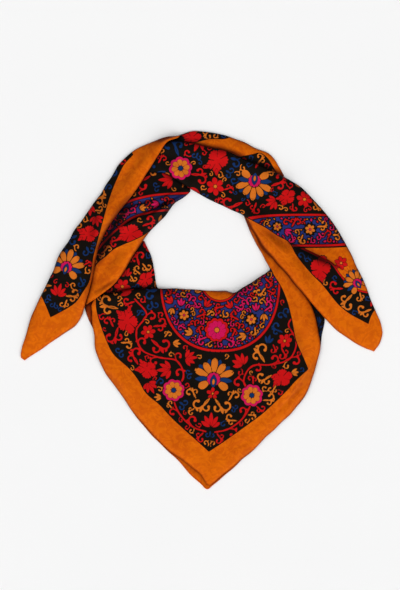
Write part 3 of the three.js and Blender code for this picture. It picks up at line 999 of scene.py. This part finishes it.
TAKEN_SHARE = 0.91      # of a small motif's radius, which its neighbours keep clear of
MOST_GROWTH = 1.22      # how much a motif may outgrow its size where there is room
EDGE_ROOM = 0.4         # dark ground between the motifs and the edge of a field, in mm


def fill(print_, allowed, box, sizes, seed, palette, mirrored=True):
    """Throws motifs of falling size at the field. Each grows from its nearest neighbour."""
    random = np.random.default_rng(seed)
    kept = 0
    for radius, throws in sizes:
        darts = random.uniform(box[:2], box[2:], (throws, 2))
        chances = random.uniform(0, 1, (throws, 2))
        for side in (1, -1) if mirrored else (1,):
            places = darts * (side, 1)
            depth = -allowed(print_.laid_place(places)) - EDGE_ROOM
            inside = depth > radius * TAKEN_SHARE
            for (u, v), (choice, turn), deep in zip(places[inside], chances[inside], depth[inside]):
                free, spin = print_.room(u, v)
                free = min(free, deep) / TAKEN_SHARE
                if free < radius:
                    continue
                size = min(free, radius * MOST_GROWTH)
                print_.take(u, v, size * TAKEN_SHARE)
                kept += 1
                spin = turn * 2 * np.pi if spin is None else spin + (turn - 0.5) * side
                hand = 1 if int(choice * 7919) % 2 else -1
                draw_any(print_, u, v, size, choice, spin, hand * side, palette)
    return kept


FAN_SHIFT = 0.2         # a fan lies to one side of its heart, so what it takes up is moved
FAN_TAKES = 0.86


def set_flowers(print_, flowers, taken=None):
    """Prints flowers at places on the table. Columns: motif, x, y, radius, turn."""
    for kind, x, y, radius, turn in flowers:
        u, v = print_.design_place(x, y)
        kind(print_, u, v, radius, turn)
        if kind is fan_flower:
            print_.take(*turned(u, v, turn, radius * FAN_SHIFT, 0), radius * FAN_TAKES)
        else:
            print_.take(u, v, taken or radius)


# Columns: radius of a motif in mm, throws
FIELD_SIZES = ((9.6, 600), (8.2, 900), (6.8, 1500), (5.6, 2200), (4.6, 2800), (3.7, 3000), (2.8, 3000),
               (2.2, 500))
BAND_SIZES = ((5.2, 800), (4.3, 1300), (3.5, 2000), (2.8, 2400), (2.1, 2800), (1.5, 2600), (1.1, 2600))
FIELD_PALETTE = ("ochre", "red", "blue", "ochre", "red", "ochre")
BAND_PALETTE = ("ochre", "pink", "red", "pink", "ochre", "pink", "red")
print("throws for a field:", sum(throws for _, throws in FIELD_SIZES))

# %% [markdown]
# ## Borders and bands
# The square's plain orange border runs along its hems, so on each piece it shows where a hem
# does. Where the border stops, the field starts with a thin dark line. A violet band with red
# edges crosses the field between the border and the middle of the square.

# %% Where the border ends and the field begins
RED_LINE = 2.1          # width of the red edge of a band, in mm
DARK_LINE = 1.6         # dark ground round a band
VIOLET_INSET = 0.8      # dark ground between the red edge and the violet
BAND_ROOM = 0.6         # dark ground between the red edge and the motifs on the violet
BAND_MARGIN = 0.8       # dark ground between a band and the motifs of the field
HEART_LINE = 0.7 * RED_LINE
HEART_DARK = 1.0        # dark ground round a heart
HEART_INSET = 0.5       # dark ground between the red edge of a heart and its orange
# Each outline holds the printed field of one piece as it is laid, and may run past the piece.
# A corner that is listed twice stays sharp.
FIELD_OUTLINES = {
    "front_panel": [
        (-117, 15), (-117, 4), (-114, -10), (-104, -37), (-98, -48), (-80, -64.5), (-71, -76),
        (-62, -91), (-48, -103), (-33, -119), (-6, -143.5), (7, -155.2), (7, -155.2), (20, -146.6),
        (51, -124.6), (67, -112.5), (93, -87.6), (102, -77.5), (116.3, -64.5), (116.3, -64.5),
        (112, -54), (103, -33), (98, -8.5), (92.5, 12), (86, 27), (79, 38), (73.5, 47), (50, 44),
        (-51, 40), (-112, 32),
    ],
    "outer_tail": [
        (-76, 171), (-86, 160), (-93, 146), (-98.5, 133), (-103.5, 118), (-109.5, 96),
        (-115, 76), (-119.5, 59), (-122, 42), (-124.5, 31), (-131, 20), (-140, 8), (-167, -7.7),
        (-167, -7.7), (-176.6, 14.7), (-205, 60), (-150, 150), (-90, 195),
    ],
    "left_band": [
        (-58, 87), (-64.6, 82.3), (-74.7, 77), (-86.4, 72.3), (-97.4, 66.9), (-106.2, 59.1),
        (-114, 53), (-120, 45), (-128, 33), (-150, 60), (-110, 150), (-60, 185), (10, 150),
        (-30, 100),
    ],
    "neck_and_tail": [
        (44, 104), (57, 97), (70, 90), (82, 82), (94.7, 74.6), (103, 60.3), (120, 39.5),
        (131.5, 28), (149.5, 6), (162, -4), (176, -11.7), (182.4, -15), (182.4, -15),
        (188.7, -0.7), (225, 20), (190, 120), (120, 175), (40, 210), (-80, 210), (-80, 140),
        (-20, 110), (20, 95),
    ],
    "under_layer": [
        (115, 18), (121, 0), (124.5, -12), (127.5, -27), (128.5, -42), (150, -45), (150, 20),
    ],
    "inner_rise": [(-150, -20), (-20, -20), (-20, 120), (-150, 120)],
    "turned_fold": [(200, 200), (201, 200), (201, 201)],
}
BACK_FIELDS = [
    [(-45, 187), (-25, 185.5), (-10, 184), (7, 188), (29, 189.6), (40, 205), (-45, 205)],
    [(42, 169), (55, 171.7), (63, 173.3), (71, 168), (77, 159), (82, 149), (84, 132), (30, 132),
     (30, 168)],
]


def field_outline(points):
    """A closed outline, smooth but for the corners that are listed twice."""
    points = np.array(points, dtype=float)
    return smooth_path(np.vstack([points, points[:1]]), 2.5)[:-1]


def area_of(points):
    outline = field_outline(points)
    return lambda xy: distance_to_outline(xy, outline)


def held_in(*shapes):
    """The part that several shapes share."""
    return lambda xy: np.maximum.reduce([shape(xy) for shape in shapes])


def outside(shape, gap=0.0):
    return lambda xy: gap - shape(xy)


def well_inside(shape):
    """The part of a band inside its red edge."""
    return lambda xy: shape(xy) + RED_LINE + BAND_ROOM


fields = {name: area_of(points) for name, points in FIELD_OUTLINES.items()}
back_areas = [area_of(points) for points in BACK_FIELDS]
fields["back_band"] = lambda xy: np.minimum(back_areas[0](xy), back_areas[1](xy))
print("fields:", len(fields))

# %% Ovals and bands
def oval(centre, size, power=2.0):
    """A function that gives the distance to an oval, more square as the power grows."""
    def distance(xy):
        part = (np.abs((xy[:, 0] - centre[0]) / size[0]) ** power
                + np.abs((xy[:, 1] - centre[1]) / size[1]) ** power) ** (1 / power)
        return (part - 1) * min(size)
    return distance


def ribbon(points, width):
    """A function that gives the distance to a ribbon along a smooth line."""
    line = smooth_path(points)
    return lambda xy: distance_to_line(xy, line)[0] - width / 2


def print_band(print_, shape):
    """A violet zone with a red edge, laid over the dark ground."""
    distance = shape(print_.laid)
    print_.clear(distance - DARK_LINE)
    print_.ground("red", np.maximum(distance, -distance - RED_LINE))
    print_.ground("violet", distance + RED_LINE + VIOLET_INSET)


def print_heart(print_, shape):
    """A plain orange zone inside a band, with a red edge."""
    distance = shape(print_.laid)
    print_.clear(distance - HEART_DARK)
    print_.ground("red", np.maximum(distance, -distance - HEART_LINE))
    print_.ground("orange", distance + HEART_LINE + HEART_INSET)


# Where the corner of the printed field lies on each piece, and a place further up its diagonal
DIAGONALS = {
    **dict.fromkeys(("under_layer", "inner_rise", "turned_fold", "front_panel"), ((7, -155.2), (14, -48))),
    "left_band": ((-126, 40), (-70, 128)),
    "back_band": ((24, 140), (24, 200)),
    "neck_and_tail": ((184, -15), (150, 60)),
    "outer_tail": ((-167, -7.7), (-148, 52)),
}
prints = {name: Print(skin.points, *DIAGONALS[name]) for name, skin in skins.items()}
print("prints:", len(prints))

# %% [markdown]
# ## Print the front
# The front shows a quarter of the square. Its middle lies at the fold round the neck opening,
# where a rounded violet band with a red edge surrounds an orange heart. The vines climb from
# the point towards both sides, and the whole design is mirrored in the diagonal.

# %% Front panel
front = prints["front_panel"]
BAND_MIDDLE = tuple(front.laid_place((0, 190)))
front_band = oval(BAND_MIDDLE, (66, 80), 2.3)
front_heart = oval(BAND_MIDDLE, (22, 25), 2.0)
print_band(front, front_band)
print_heart(front, front_heart)
VINE = ((5, 22), (19, 26), (36, 41), (43, 62), (33, 80), (41, 97), (62, 100), (82, 108), (88, 128),
        (78, 146), (92, 162))
# Columns: motif, u, v, radius, turn, turn that is mirrored, radius taken
SIDE_FLOWERS = (
    (rosette, 43, 65, 12.0, 0.3, 0, 12),
    (blossom, 74, 86, 10.5, 0, 0.4, 10),
    (blossom, 99, 138, 12.5, 0, 1.2, 12),
    (star_flower, 75, 127, 8.0, 0.2, 0, 7.5),
    (medallion, 37, 148, 8.5, 0, 0.3, 8.2),
)
for side in (-1, 1):
    vine(front, [(side * u, v) for u, v in VINE])
    for kind, u, v, radius, turn, mirrored_turn, taken in SIDE_FLOWERS:
        kind(front, side * u, v, radius, turn + side * mirrored_turn)
        front.take(side * u, v, taken)
fan_flower(front, 0, 80, 23, np.pi / 2)
front.take(0, 82, 22)
star_flower(front, 0, 64, 7.0, np.pi / 2, count=5)
rosette(front, 0, 134, 13.0, 0, rim="red", petals="pink", eye="ochre", count=10)
front.take(0, 134, 13.2)
leaf_spray(front, "red", 0, 33, 10.5, np.pi / 2)
front.take(0, 33, 9.5)
twin_curls(front, "blue", 0, 19, 5.5, -np.pi / 2)
front.take(0, 19, 5)
for side in (-1, 1):
    lone_curl(front, "ochre", side * 3.4, 9.5, 3.6, np.pi / 2 - side * 0.5, -side)
    front.take(side * 3.4, 9.5, 3.4)
kept = fill(front, held_in(well_inside(front_band), outside(front_heart), fields["front_panel"]),
            (0, 105, 70, 200), BAND_SIZES, 21, BAND_PALETTE)
kept += fill(front, held_in(fields["front_panel"], outside(front_band, BAND_MARGIN)),
             (0, 4, 140, 210), FIELD_SIZES, 22, FIELD_PALETTE)
print("small motifs on the front:", kept)

# %% [markdown]
# ## Print the sides
# The other pieces show more of the same square, so they use the same motifs at the same scale.
# The violet band crosses the left side and the start of the right tail, and each tail ends in
# a corner like that of the front.

# %% Left side
left = prints["left_band"]
left_band_shape = ribbon([(-128, 66), (-104, 92), (-82, 109), (-56, 117), (-16, 120)], 20)
print_band(left, left_band_shape)
set_flowers(left, [(blossom, -80, 84, 12.0, 0.5)])
kept = fill(left, well_inside(left_band_shape), (-90, -20, 90, 120), BAND_SIZES, 31, BAND_PALETTE,
            mirrored=False)
kept += fill(left, held_in(fields["left_band"], outside(left_band_shape, BAND_MARGIN)),
             (-90, -30, 90, 150), FIELD_SIZES[1:], 32, FIELD_PALETTE, mirrored=False)

rise = prints["inner_rise"]
set_flowers(rise, [(blossom, -63, 33, 8.5, 1.0), (star_flower, -88, 26, 9.0, 1.0)])
kept += fill(rise, fields["inner_rise"], (-140, 150, -30, 250), FIELD_SIZES[2:], 33, FIELD_PALETTE,
             mirrored=False)
print("small motifs on the left side:", kept)

# %% Neck and right tail
tail = prints["neck_and_tail"]
tail_band = held_in(oval((112, 88), (80, 18), 2.8), lambda xy: 28.0 - xy[:, 0])
tail_heart = area_of([
    (86, 82), (86, 82), (106, 69), (124, 60), (141, 51), (151, 38), (166, 23), (205, 22), (215, 80),
    (215, 80), (150, 82), (110, 83)])
print_heart(tail, tail_heart)
print_band(tail, tail_band)
set_flowers(tail, [
    (rosette, -24, 156, 12.5, 0.5), (fan_flower, 57, 142, 21.0, -2.1), (blossom, 16, 164, 12.5, 0.6),
    (star_flower, 14, 136, 10.0, 0.2), (blossom, 129, 45, 12.5, 0.9), (star_flower, 112, 122, 9.0, 1.4),
    (star_flower, 152, 52, 7.5, 0.3), (blossom, 92, 124, 9.0, 0.2), (fan_flower, 170, 30, 15.5, 1.75),
    (medallion, 118, 89, 8.5, 0.3), (medallion, 82, 92, 7.0, 0.3),
])
kept = fill(tail, well_inside(tail_band), (-80, 20, 90, 160), BAND_SIZES, 41, BAND_PALETTE, mirrored=False)
tail_field = held_in(fields["neck_and_tail"], outside(tail_band, BAND_MARGIN), outside(tail_heart, 0.5))
for seed in (42, 43, 44):
    kept += fill(tail, tail_field, (-160, 4, 90, 310), FIELD_SIZES, seed, FIELD_PALETTE, mirrored=False)
print("small motifs on the neck and tail:", kept)

# %% Left tail, back and under layer
outer = prints["outer_tail"]
fan_flower(outer, 0, 58, 20, np.pi / 2)
outer.take(0, 60, 19)
leaf_spray(outer, "red", 0, 30, 9.0, np.pi / 2)
outer.take(0, 30, 8.5)
twin_curls(outer, "blue", 0, 14, 5.0, -np.pi / 2)
outer.take(0, 14, 4.6)
set_flowers(outer, [(blossom, -126, 84, 10, 0.4)])
kept = fill(outer, fields["outer_tail"], (-90, 2, 90, 220), FIELD_SIZES[1:], 51, FIELD_PALETTE)

back = prints["back_band"]
set_flowers(back, [(blossom, -12, 189.5, 9.0, 0.2)], taken=8.5)
kept += fill(back, fields["back_band"], (-70, -10, 70, 62), FIELD_SIZES[3:], 61, FIELD_PALETTE,
             mirrored=False)

under = prints["under_layer"]
kept += fill(under, fields["under_layer"], (90, 90, 140, 190), FIELD_SIZES[4:], 71,
             ("blue",), mirrored=False)
print("small motifs on the rest:", kept)

# %% [markdown]
# ## Lay the border over the print
# The orange border is printed last, up to the line where the field begins, so no motif runs
# over it. Each ink is then stored on the points of its piece.

# %% Store the inks
FIELD_LINE = 0.9        # dark line between the border and the field, in mm
for name, print_ in prints.items():
    distance = fields[name](print_.laid)
    print_.clear(-distance - FIELD_LINE)
    print_.ground("orange", -distance)
    mesh = pieces[name].data
    for ink, values in print_.inks.items():
        attribute = mesh.attributes.new("ink_" + ink, "FLOAT", "POINT")
        attribute.data.foreach_set("value", np.clip(values, -FAR, FAR).astype(np.float32))
print("inks stored on", len(prints), "pieces")

# %% [markdown]
# ## Shader maths as expressions
# Node trees are easier to read as sums. A small class wraps a socket, and every operator on it
# adds the node that does the sum.

# %% Socket expressions
class Value:
    """A number that a shader works out, with Python's operators."""

    def __init__(self, tree, socket):
        self.tree = tree
        self.socket = socket

    def maths(self, operation, *others, clamp=False):
        node = self.tree.nodes.new("ShaderNodeMath")
        node.operation = operation
        node.use_clamp = clamp
        for slot, value in zip(node.inputs, (self, *others)):
            if isinstance(value, Value):
                self.tree.links.new(value.socket, slot)
            else:
                slot.default_value = value
        return Value(self.tree, node.outputs[0])

    def __add__(self, other):
        return self.maths("ADD", other)

    def __mul__(self, other):
        return self.maths("MULTIPLY", other)

    def __sub__(self, other):
        return self.maths("SUBTRACT", other)

    def __rsub__(self, other):
        return self * -1 + other

    def clamped(self):
        return self.maths("ADD", 0.0, clamp=True)

    __radd__ = __add__
    __rmul__ = __mul__


class Shader:
    """A new material, with one method that adds any node."""

    def __init__(self, name):
        self.material = bpy.data.materials.new(name)
        self.material.use_nodes = True
        self.tree = self.material.node_tree
        self.surface = self.tree.nodes["Principled BSDF"]
        self.place = Value(self.tree, self.node("ShaderNodeTexCoord").outputs["Object"])

    def fill_slot(self, slot, value):
        if isinstance(value, Value):
            self.tree.links.new(value.socket, slot)
        else:
            slot.default_value = value

    def node(self, kind, settings=None, **values):
        node = self.tree.nodes.new(kind)
        for key, value in (settings or {}).items():
            setattr(node, key, value)
        for key, value in values.items():
            self.fill_slot(node.inputs[key.replace("_", " ").title()], value)
        return node

    def number(self, node, output):
        return Value(self.tree, node.outputs[output])

    def attribute(self, name):
        return self.number(self.node("ShaderNodeAttribute", {"attribute_name": name}), "Fac")

    def noise(self, scale, detail=2.0, roughness=0.5, distortion=0.0):
        node = self.node("ShaderNodeTexNoise", vector=self.place, scale=scale, detail=detail,
                         roughness=roughness, distortion=distortion)
        return self.number(node, "Fac")

    def mix(self, below, above, part, blend="MIX"):
        """The colour above laid over the one below, by the part between 0 and 1."""
        node = self.tree.nodes.new("ShaderNodeMix")
        node.data_type = "RGBA"
        node.blend_type = blend
        part_slot, below_slot, above_slot = node.inputs[0], node.inputs[6], node.inputs[7]
        self.fill_slot(part_slot, part)
        self.fill_slot(below_slot, below)
        self.fill_slot(above_slot, above)
        return Value(self.tree, node.outputs[2])

    def feed(self, slot, value):
        self.tree.links.new(value.socket, self.surface.inputs[slot])


def linear(red, green, blue):
    """A colour given as it looks on a screen, 0 to 255, as the light that a shader needs."""
    parts = [c / 255 for c in (red, green, blue)]
    return (*[p / 12.92 if p <= 0.04045 else ((p + 0.055) / 1.055) ** 2.4 for p in parts], 1.0)


def toned(colour, red, green, blue):
    """A colour with its light scaled."""
    return (min(1, colour[0] * red), min(1, colour[1] * green), min(1, colour[2] * blue), 1.0)


print("orange as light:", [round(part, 3) for part in linear(208, 98, 6)])

# %% [markdown]
# ## The silk
# Printed silk has a soft sheen and a very fine twill weave. The orange of this one has a faint
# tone on tone pattern woven in, like curled leaves. Ink sits in the threads, so it has no
# thickness: only the weave and small creases show as relief.

# %% Silk material
INK_COLOURS = {
    "orange": linear(207, 94, 0),
    "violet": linear(38, 46, 110),
    "red": linear(200, 14, 16),
    "ochre": linear(214, 112, 30),
    "blue": linear(14, 47, 98),
    "pink": linear(206, 16, 84),
}
GROUND_COLOUR = linear(10, 6, 2)
GROUND_WORN = linear(19, 12, 6)
EDGE_SHARPNESS = 2.8     # how fast an ink ends, for each mm
# How much, and to what colour, the painted shade in the creases darkens the cloth
CREASE_SHADE = 0.88
CREASE_SHADE_TINT = (0.10, 0.015, 0.0, 1.0)
GLOSS = 0.05
# Scale, detail, roughness and distortion of each noise
CLOUDS = (125.0, 3.0, 0.55)
THREADS = (900.0, 2.0, 0.6)
BROAD = (22.0, 2.0, 0.5)
SWIRLS = (105.0, 1.0, 0.5, 2.2)
FIGURE_CRISPNESS = 7.0   # how sharply the woven figures end
# How much each noise tells in the tone of the orange
CLOUD_TONE = 0.9
FIGURE_TONE = 0.4
THREAD_TONE = 0.35
BROAD_TONE = 0.6


def silk(name, shade=(1.0, 1.0, 1.0), roughness=0.56, inks=True):
    shader = Shader(name)
    clouds, threads, broad, swirls = (shader.noise(*noise) for noise in (CLOUDS, THREADS, BROAD, SWIRLS))
    figures = ((swirls - 0.5) * FIGURE_CRISPNESS + 0.5).clamped()
    tone = ((clouds - 0.5) * CLOUD_TONE + (figures - 0.5) * FIGURE_TONE
            + (threads - 0.5) * THREAD_TONE + (broad - 0.5) * BROAD_TONE)
    plain = toned(INK_COLOURS["orange"], *shade)
    orange = shader.mix(toned(plain, 0.80, 0.66, 0.5), toned(plain, 1.12, 1.24, 1.3),
                        (tone + 0.5).clamped())
    colour = orange
    if inks:
        wander = (threads - 0.5) * 0.25
        colour = shader.mix(GROUND_COLOUR, GROUND_WORN, clouds)
        uneven = ((clouds - 0.5) * 1.1 + (threads - 0.5) * 0.7 + 0.6).clamped()
        for ink in INKS:
            part = (0.5 - (shader.attribute("ink_" + ink) + wander) * EDGE_SHARPNESS).clamped()
            full = INK_COLOURS[ink]
            above = orange if ink == "orange" else shader.mix(toned(full, 0.7, 0.7, 0.7), full, uneven)
            colour = shader.mix(colour, above, part)
    # Painted shade: the colour is darkened as far as the crease attribute says
    deep = (shader.attribute("crease") * CREASE_SHADE).clamped()
    colour = shader.mix(colour, CREASE_SHADE_TINT, deep, blend="MULTIPLY")
    shader.feed("Base Color", colour)
    shader.feed("Roughness", (clouds - 0.5) * 0.12 + (threads - 0.5) * 0.1 + roughness)
    shader.surface.inputs["Specular IOR Level"].default_value = GLOSS
    turned_way = shader.node("ShaderNodeMapping", vector=shader.place)
    turned_way.inputs["Rotation"].default_value = (0, 0, math.radians(45))
    lines = shader.node("ShaderNodeTexWave", {"wave_type": "BANDS", "bands_direction": "X"},
                        vector=shader.number(turned_way, 0), scale=420.0, distortion=1.2)
    relief = shader.number(lines, "Fac") * 0.25 + threads * 0.35 + clouds * 0.8
    bump = shader.node("ShaderNodeBump", strength=0.3, distance=0.0003, height=relief)
    shader.feed("Normal", shader.number(bump, 0))
    return shader.material


printed_silk = silk("printed_silk")
# The reverse of the silk shows on the turned fold: its orange is made darker and redder as painted shade
# of the turn
shaded_reverse_silk = silk("shaded_reverse_silk", shade=(0.5, 0.33, 0.4), inks=False)
hem_silk = silk("hem_silk", shade=(0.9, 0.82, 0.8), inks=False)
for name, piece in pieces.items():
    piece.data.materials.append(shaded_reverse_silk if name == "turned_fold" else printed_silk)
print("materials:", len(bpy.data.materials))

# %% [markdown]
# ## The rolled hem
# The raw edge of the square is rolled between finger and thumb to a cord about 1.5 mm thick,
# and held by slip stitches. A curve could be bevelled for the roll, but the stitches repeat
# along it, so Geometry Nodes make both from one line: the roll is a circle swept along it,
# a little uneven, and a stitch is set on it at even steps.

# %% Hem tree
HEM_RADIUS = 0.75       # in mm
HEM_SIZES = {
    "Roll radius": HEM_RADIUS * MM,
    "Stitch step": 5.0 * MM,
    "Stitch length": 0.9 * MM,
    "Unevenness": 0.3,
}
LEAST_ROLL = 0.85       # share of its radius that the roll has where it is thinnest
ROLL_NOISE = 130.0
ROLL_SIDES = 8
STITCH_SHAPE = (0.26, 0.26, 1.0)
STITCH_LEAN = math.radians(28)


def hem_tree(material):
    tree = bpy.data.node_groups.new("rolled_hem", "GeometryNodeTree")
    sockets = [("Geometry", "INPUT", "Geometry"), *[(label, "INPUT", "Float") for label in HEM_SIZES],
               ("Geometry", "OUTPUT", "Geometry")]
    for label, way, kind in sockets:
        tree.interface.new_socket(label, in_out=way, socket_type="NodeSocket" + kind)

    def add(kind, *inputs, settings=None, **named):
        """A node whose inputs are linked or set, in order or by name. Gives its first output."""
        node = tree.nodes.new(kind)
        for key, value in (settings or {}).items():
            setattr(node, key, value)
        by_name = [(key.replace("_", " ").title(), value) for key, value in named.items()]
        for key, value in [*enumerate(inputs), *by_name]:
            if isinstance(value, bpy.types.NodeSocket):
                tree.links.new(value, node.inputs[key])
            else:
                node.inputs[key].default_value = value
        return node.outputs[0]

    given = tree.nodes.new("NodeGroupInput").outputs
    curve = add("GeometryNodeMeshToCurve", given["Geometry"])
    noise = add("ShaderNodeTexNoise", scale=ROLL_NOISE)
    uneven = add("ShaderNodeMath", noise, given["Unevenness"], LEAST_ROLL,
                 settings={"operation": "MULTIPLY_ADD"})
    size = add("ShaderNodeMath", uneven, given["Roll radius"], settings={"operation": "MULTIPLY"})
    swept = add("GeometryNodeSetCurveRadius", curve=curve, radius=size)
    ring = add("GeometryNodeCurvePrimitiveCircle", resolution=ROLL_SIDES, radius=1.0)
    roll = add("GeometryNodeCurveToMesh", curve=swept, profile_curve=ring, fill_caps=True)
    if "Scale" in roll.node.inputs:
        tree.links.new(size, roll.node.inputs["Scale"])
    steps = add("GeometryNodeResampleCurve", settings={"mode": "LENGTH"}, curve=curve,
                length=given["Stitch step"])
    stitch = add("GeometryNodeMeshUVSphere", segments=6, rings=4, radius=given["Stitch length"])
    leaning = add("GeometryNodeTransform", stitch, scale=STITCH_SHAPE, rotation=(0.0, STITCH_LEAN, 0.0))
    facing = add("FunctionNodeAlignEulerToVector", settings={"axis": "Z"},
                 vector=add("GeometryNodeInputTangent"))
    lift = add("ShaderNodeCombineXYZ", 0.0, 0.0, given["Roll radius"])
    lifted = add("GeometryNodeSetPosition", steps, offset=lift)
    stitches = add("GeometryNodeInstanceOnPoints", points=lifted, instance=leaning, rotation=facing)
    joined = add("GeometryNodeJoinGeometry", stitches)
    tree.links.new(roll, joined.node.inputs[0])
    real = add("GeometryNodeRealizeInstances", joined)
    finished = add("GeometryNodeSetMaterial", real, material=material)
    tree.links.new(finished, tree.nodes.new("NodeGroupOutput").inputs[0])
    return tree


HEM_TREE = hem_tree(hem_silk)
HEM_INPUTS = {item.name: item.identifier for item in HEM_TREE.interface.items_tree
              if item.in_out == "INPUT"}


def rolled_hem(name, route):
    """A rolled hem along a route of points in mm."""
    mesh = bpy.data.meshes.new(name + "_line")
    mesh.from_pydata((route * MM).tolist(), [(i, i + 1) for i in range(len(route) - 1)], [])
    thing = new_object(name + "_line", mesh)
    nodes = thing.modifiers.new("hem", "NODES")
    nodes.node_group = HEM_TREE
    for label, value in HEM_SIZES.items():
        nodes[HEM_INPUTS[label]] = value
    graph = bpy.context.evaluated_depsgraph_get()
    baked = bpy.data.meshes.new_from_object(thing.evaluated_get(graph))
    bpy.data.objects.remove(thing)
    baked.name = name
    baked.polygons.foreach_set("use_smooth", [True] * len(baked.polygons))
    print(name, "faces:", len(baked.polygons))
    return new_object(name, baked)


# %% Hem routes
def edge_route(skin, side, first, last):
    """The edge of a skin between two of its cross lines, in the middle of the roll."""
    column = 0 if side == "a" else -1
    keep = (skin.places >= first) & (skin.places <= last)
    route = skin.top[keep, column].copy()
    route[:, 2] = np.maximum(route[:, 2] - HEM + HEM_RADIUS, HEM_RADIUS * 1.15)
    return route


def tip_route(skin, first_b, first_a):
    """The edge round the tip of a tail: down side b and back up side a."""
    last = skin.places[-1]
    return np.vstack([edge_route(skin, "b", first_b, last), edge_route(skin, "a", first_a, last)[::-1]])


hems = {
    "front_panel": rolled_hem("front_hem", edge_route(skins["front_panel"], "a", 0.4, 17.6)),
    "under_layer": rolled_hem("under_hem", edge_route(skins["under_layer"], "a", 2.0, 12.0)),
    "left_band": rolled_hem("left_band_hem", edge_route(skins["left_band"], "b", 0.0, 4.0)),
    "neck_and_tail": rolled_hem("right_tail_hem", tip_route(skins["neck_and_tail"], 6.3, 13.9)),
    "outer_tail": rolled_hem("outer_tail_hem", tip_route(skins["outer_tail"], 1.0, 12.0)),
}
# The hems get the painted crease shade too
for name, hem in hems.items():
    places = np.empty(3 * len(hem.data.vertices))
    hem.data.vertices.foreach_get("co", places)
    store_crease_shade(name, hem, places.reshape(-1, 3) / MM)

# %% [markdown]
# ## Tie the pieces to the frame
# Every piece and every hem rides on the one body of the scarf, and the solids that a piece
# stands for are hidden.

NODES_OF = {
    "under_layer": ("front_under_layer",),
    "inner_rise": ("left_inner_rise",),
    "turned_fold": ("left_turned_fold",),
    "front_panel": ("front_point", "right_strip"),
    "left_band": ("left_stretch",),
    "back_band": ("back_stretch",),
    "neck_and_tail": ("neck_stretch", "right_tail"),
    "outer_tail": ("left_tail",),
}


for name, piece in pieces.items():
    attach(piece, "root")
    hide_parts(*NODES_OF[name])
    with_pieces = [hems[name]] if name in hems else []
for hem in hems.values():
    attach(hem, "root")

# %% [markdown]
# ## Table and light
# The scarf lies on a plain pale table. Two wide soft lights stand far off in front of it, to
# the right and to the left, and a weaker one behind it, with pale light from all round, so the
# shadows are soft. Sun lamps with a wide angle light the whole table alike, as near ones can't.

# %% Table
TABLE_HALF = 3.0        # in metres
TABLE_TOP = -0.0001     # just under the cloth
TABLE_TONES = ((0.88, 0.88, 0.88, 1), (0.9, 0.9, 0.9, 1))


def table_material():
    shader = Shader("pale_table")
    shader.feed("Base Color", shader.mix(*TABLE_TONES, shader.noise(6.0, 2.0, 0.5)))
    shader.surface.inputs["Roughness"].default_value = 0.9
    shader.surface.inputs["Specular IOR Level"].default_value = 0.1
    return shader.material


corners = [(x * TABLE_HALF, y * TABLE_HALF, TABLE_TOP) for x, y in ((-1, -1), (1, -1), (1, 1), (-1, 1))]
table_mesh = bpy.data.meshes.new("table_top")
table_mesh.from_pydata(corners, [], [(0, 1, 2, 3)])
table_top = new_object("table_top", table_mesh)
table_mesh.materials.append(table_material())
print("table side in m:", 2 * TABLE_HALF)

# %% Lights
# Columns: name, where it shines from, how wide it is in radians, strength
LIGHTS = (
    ("key", (1.9, -1.9, 1.6), 0.8, 2.22),
    ("second", (-2.1, -1.5, 1.6), 0.8, 1.49),
    ("back", (-0.6, 1.6, 2.6), 1.2, 0.70),
)
SKY_STRENGTH = 0.25


def soft_light(name, place, angle, strength):
    data = bpy.data.lights.new(name, "SUN")
    data.angle = angle
    data.energy = strength
    light = new_object(name, data)
    light.location = place
    light.rotation_euler = (-Vector(place)).to_track_quat("-Z", "Y").to_euler()


for row in LIGHTS:
    soft_light(*row)
world = bpy.data.worlds.new("studio")
bpy.context.scene.world = world
world.use_nodes = True
sky = world.node_tree.nodes["Background"]
sky.inputs[0].default_value = (1, 1, 1, 1)
sky.inputs[1].default_value = SKY_STRENGTH
bpy.context.scene.view_settings.view_transform = "Standard"
print("lights:", len(bpy.data.lights))

# %% [markdown]
# ## Boxes as plain numbers
# A small function gives the corners of a box as plain numbers.

# %% Plain numbers for a box
def plain(box):
    return [[float(value) for value in corner] for corner in box]
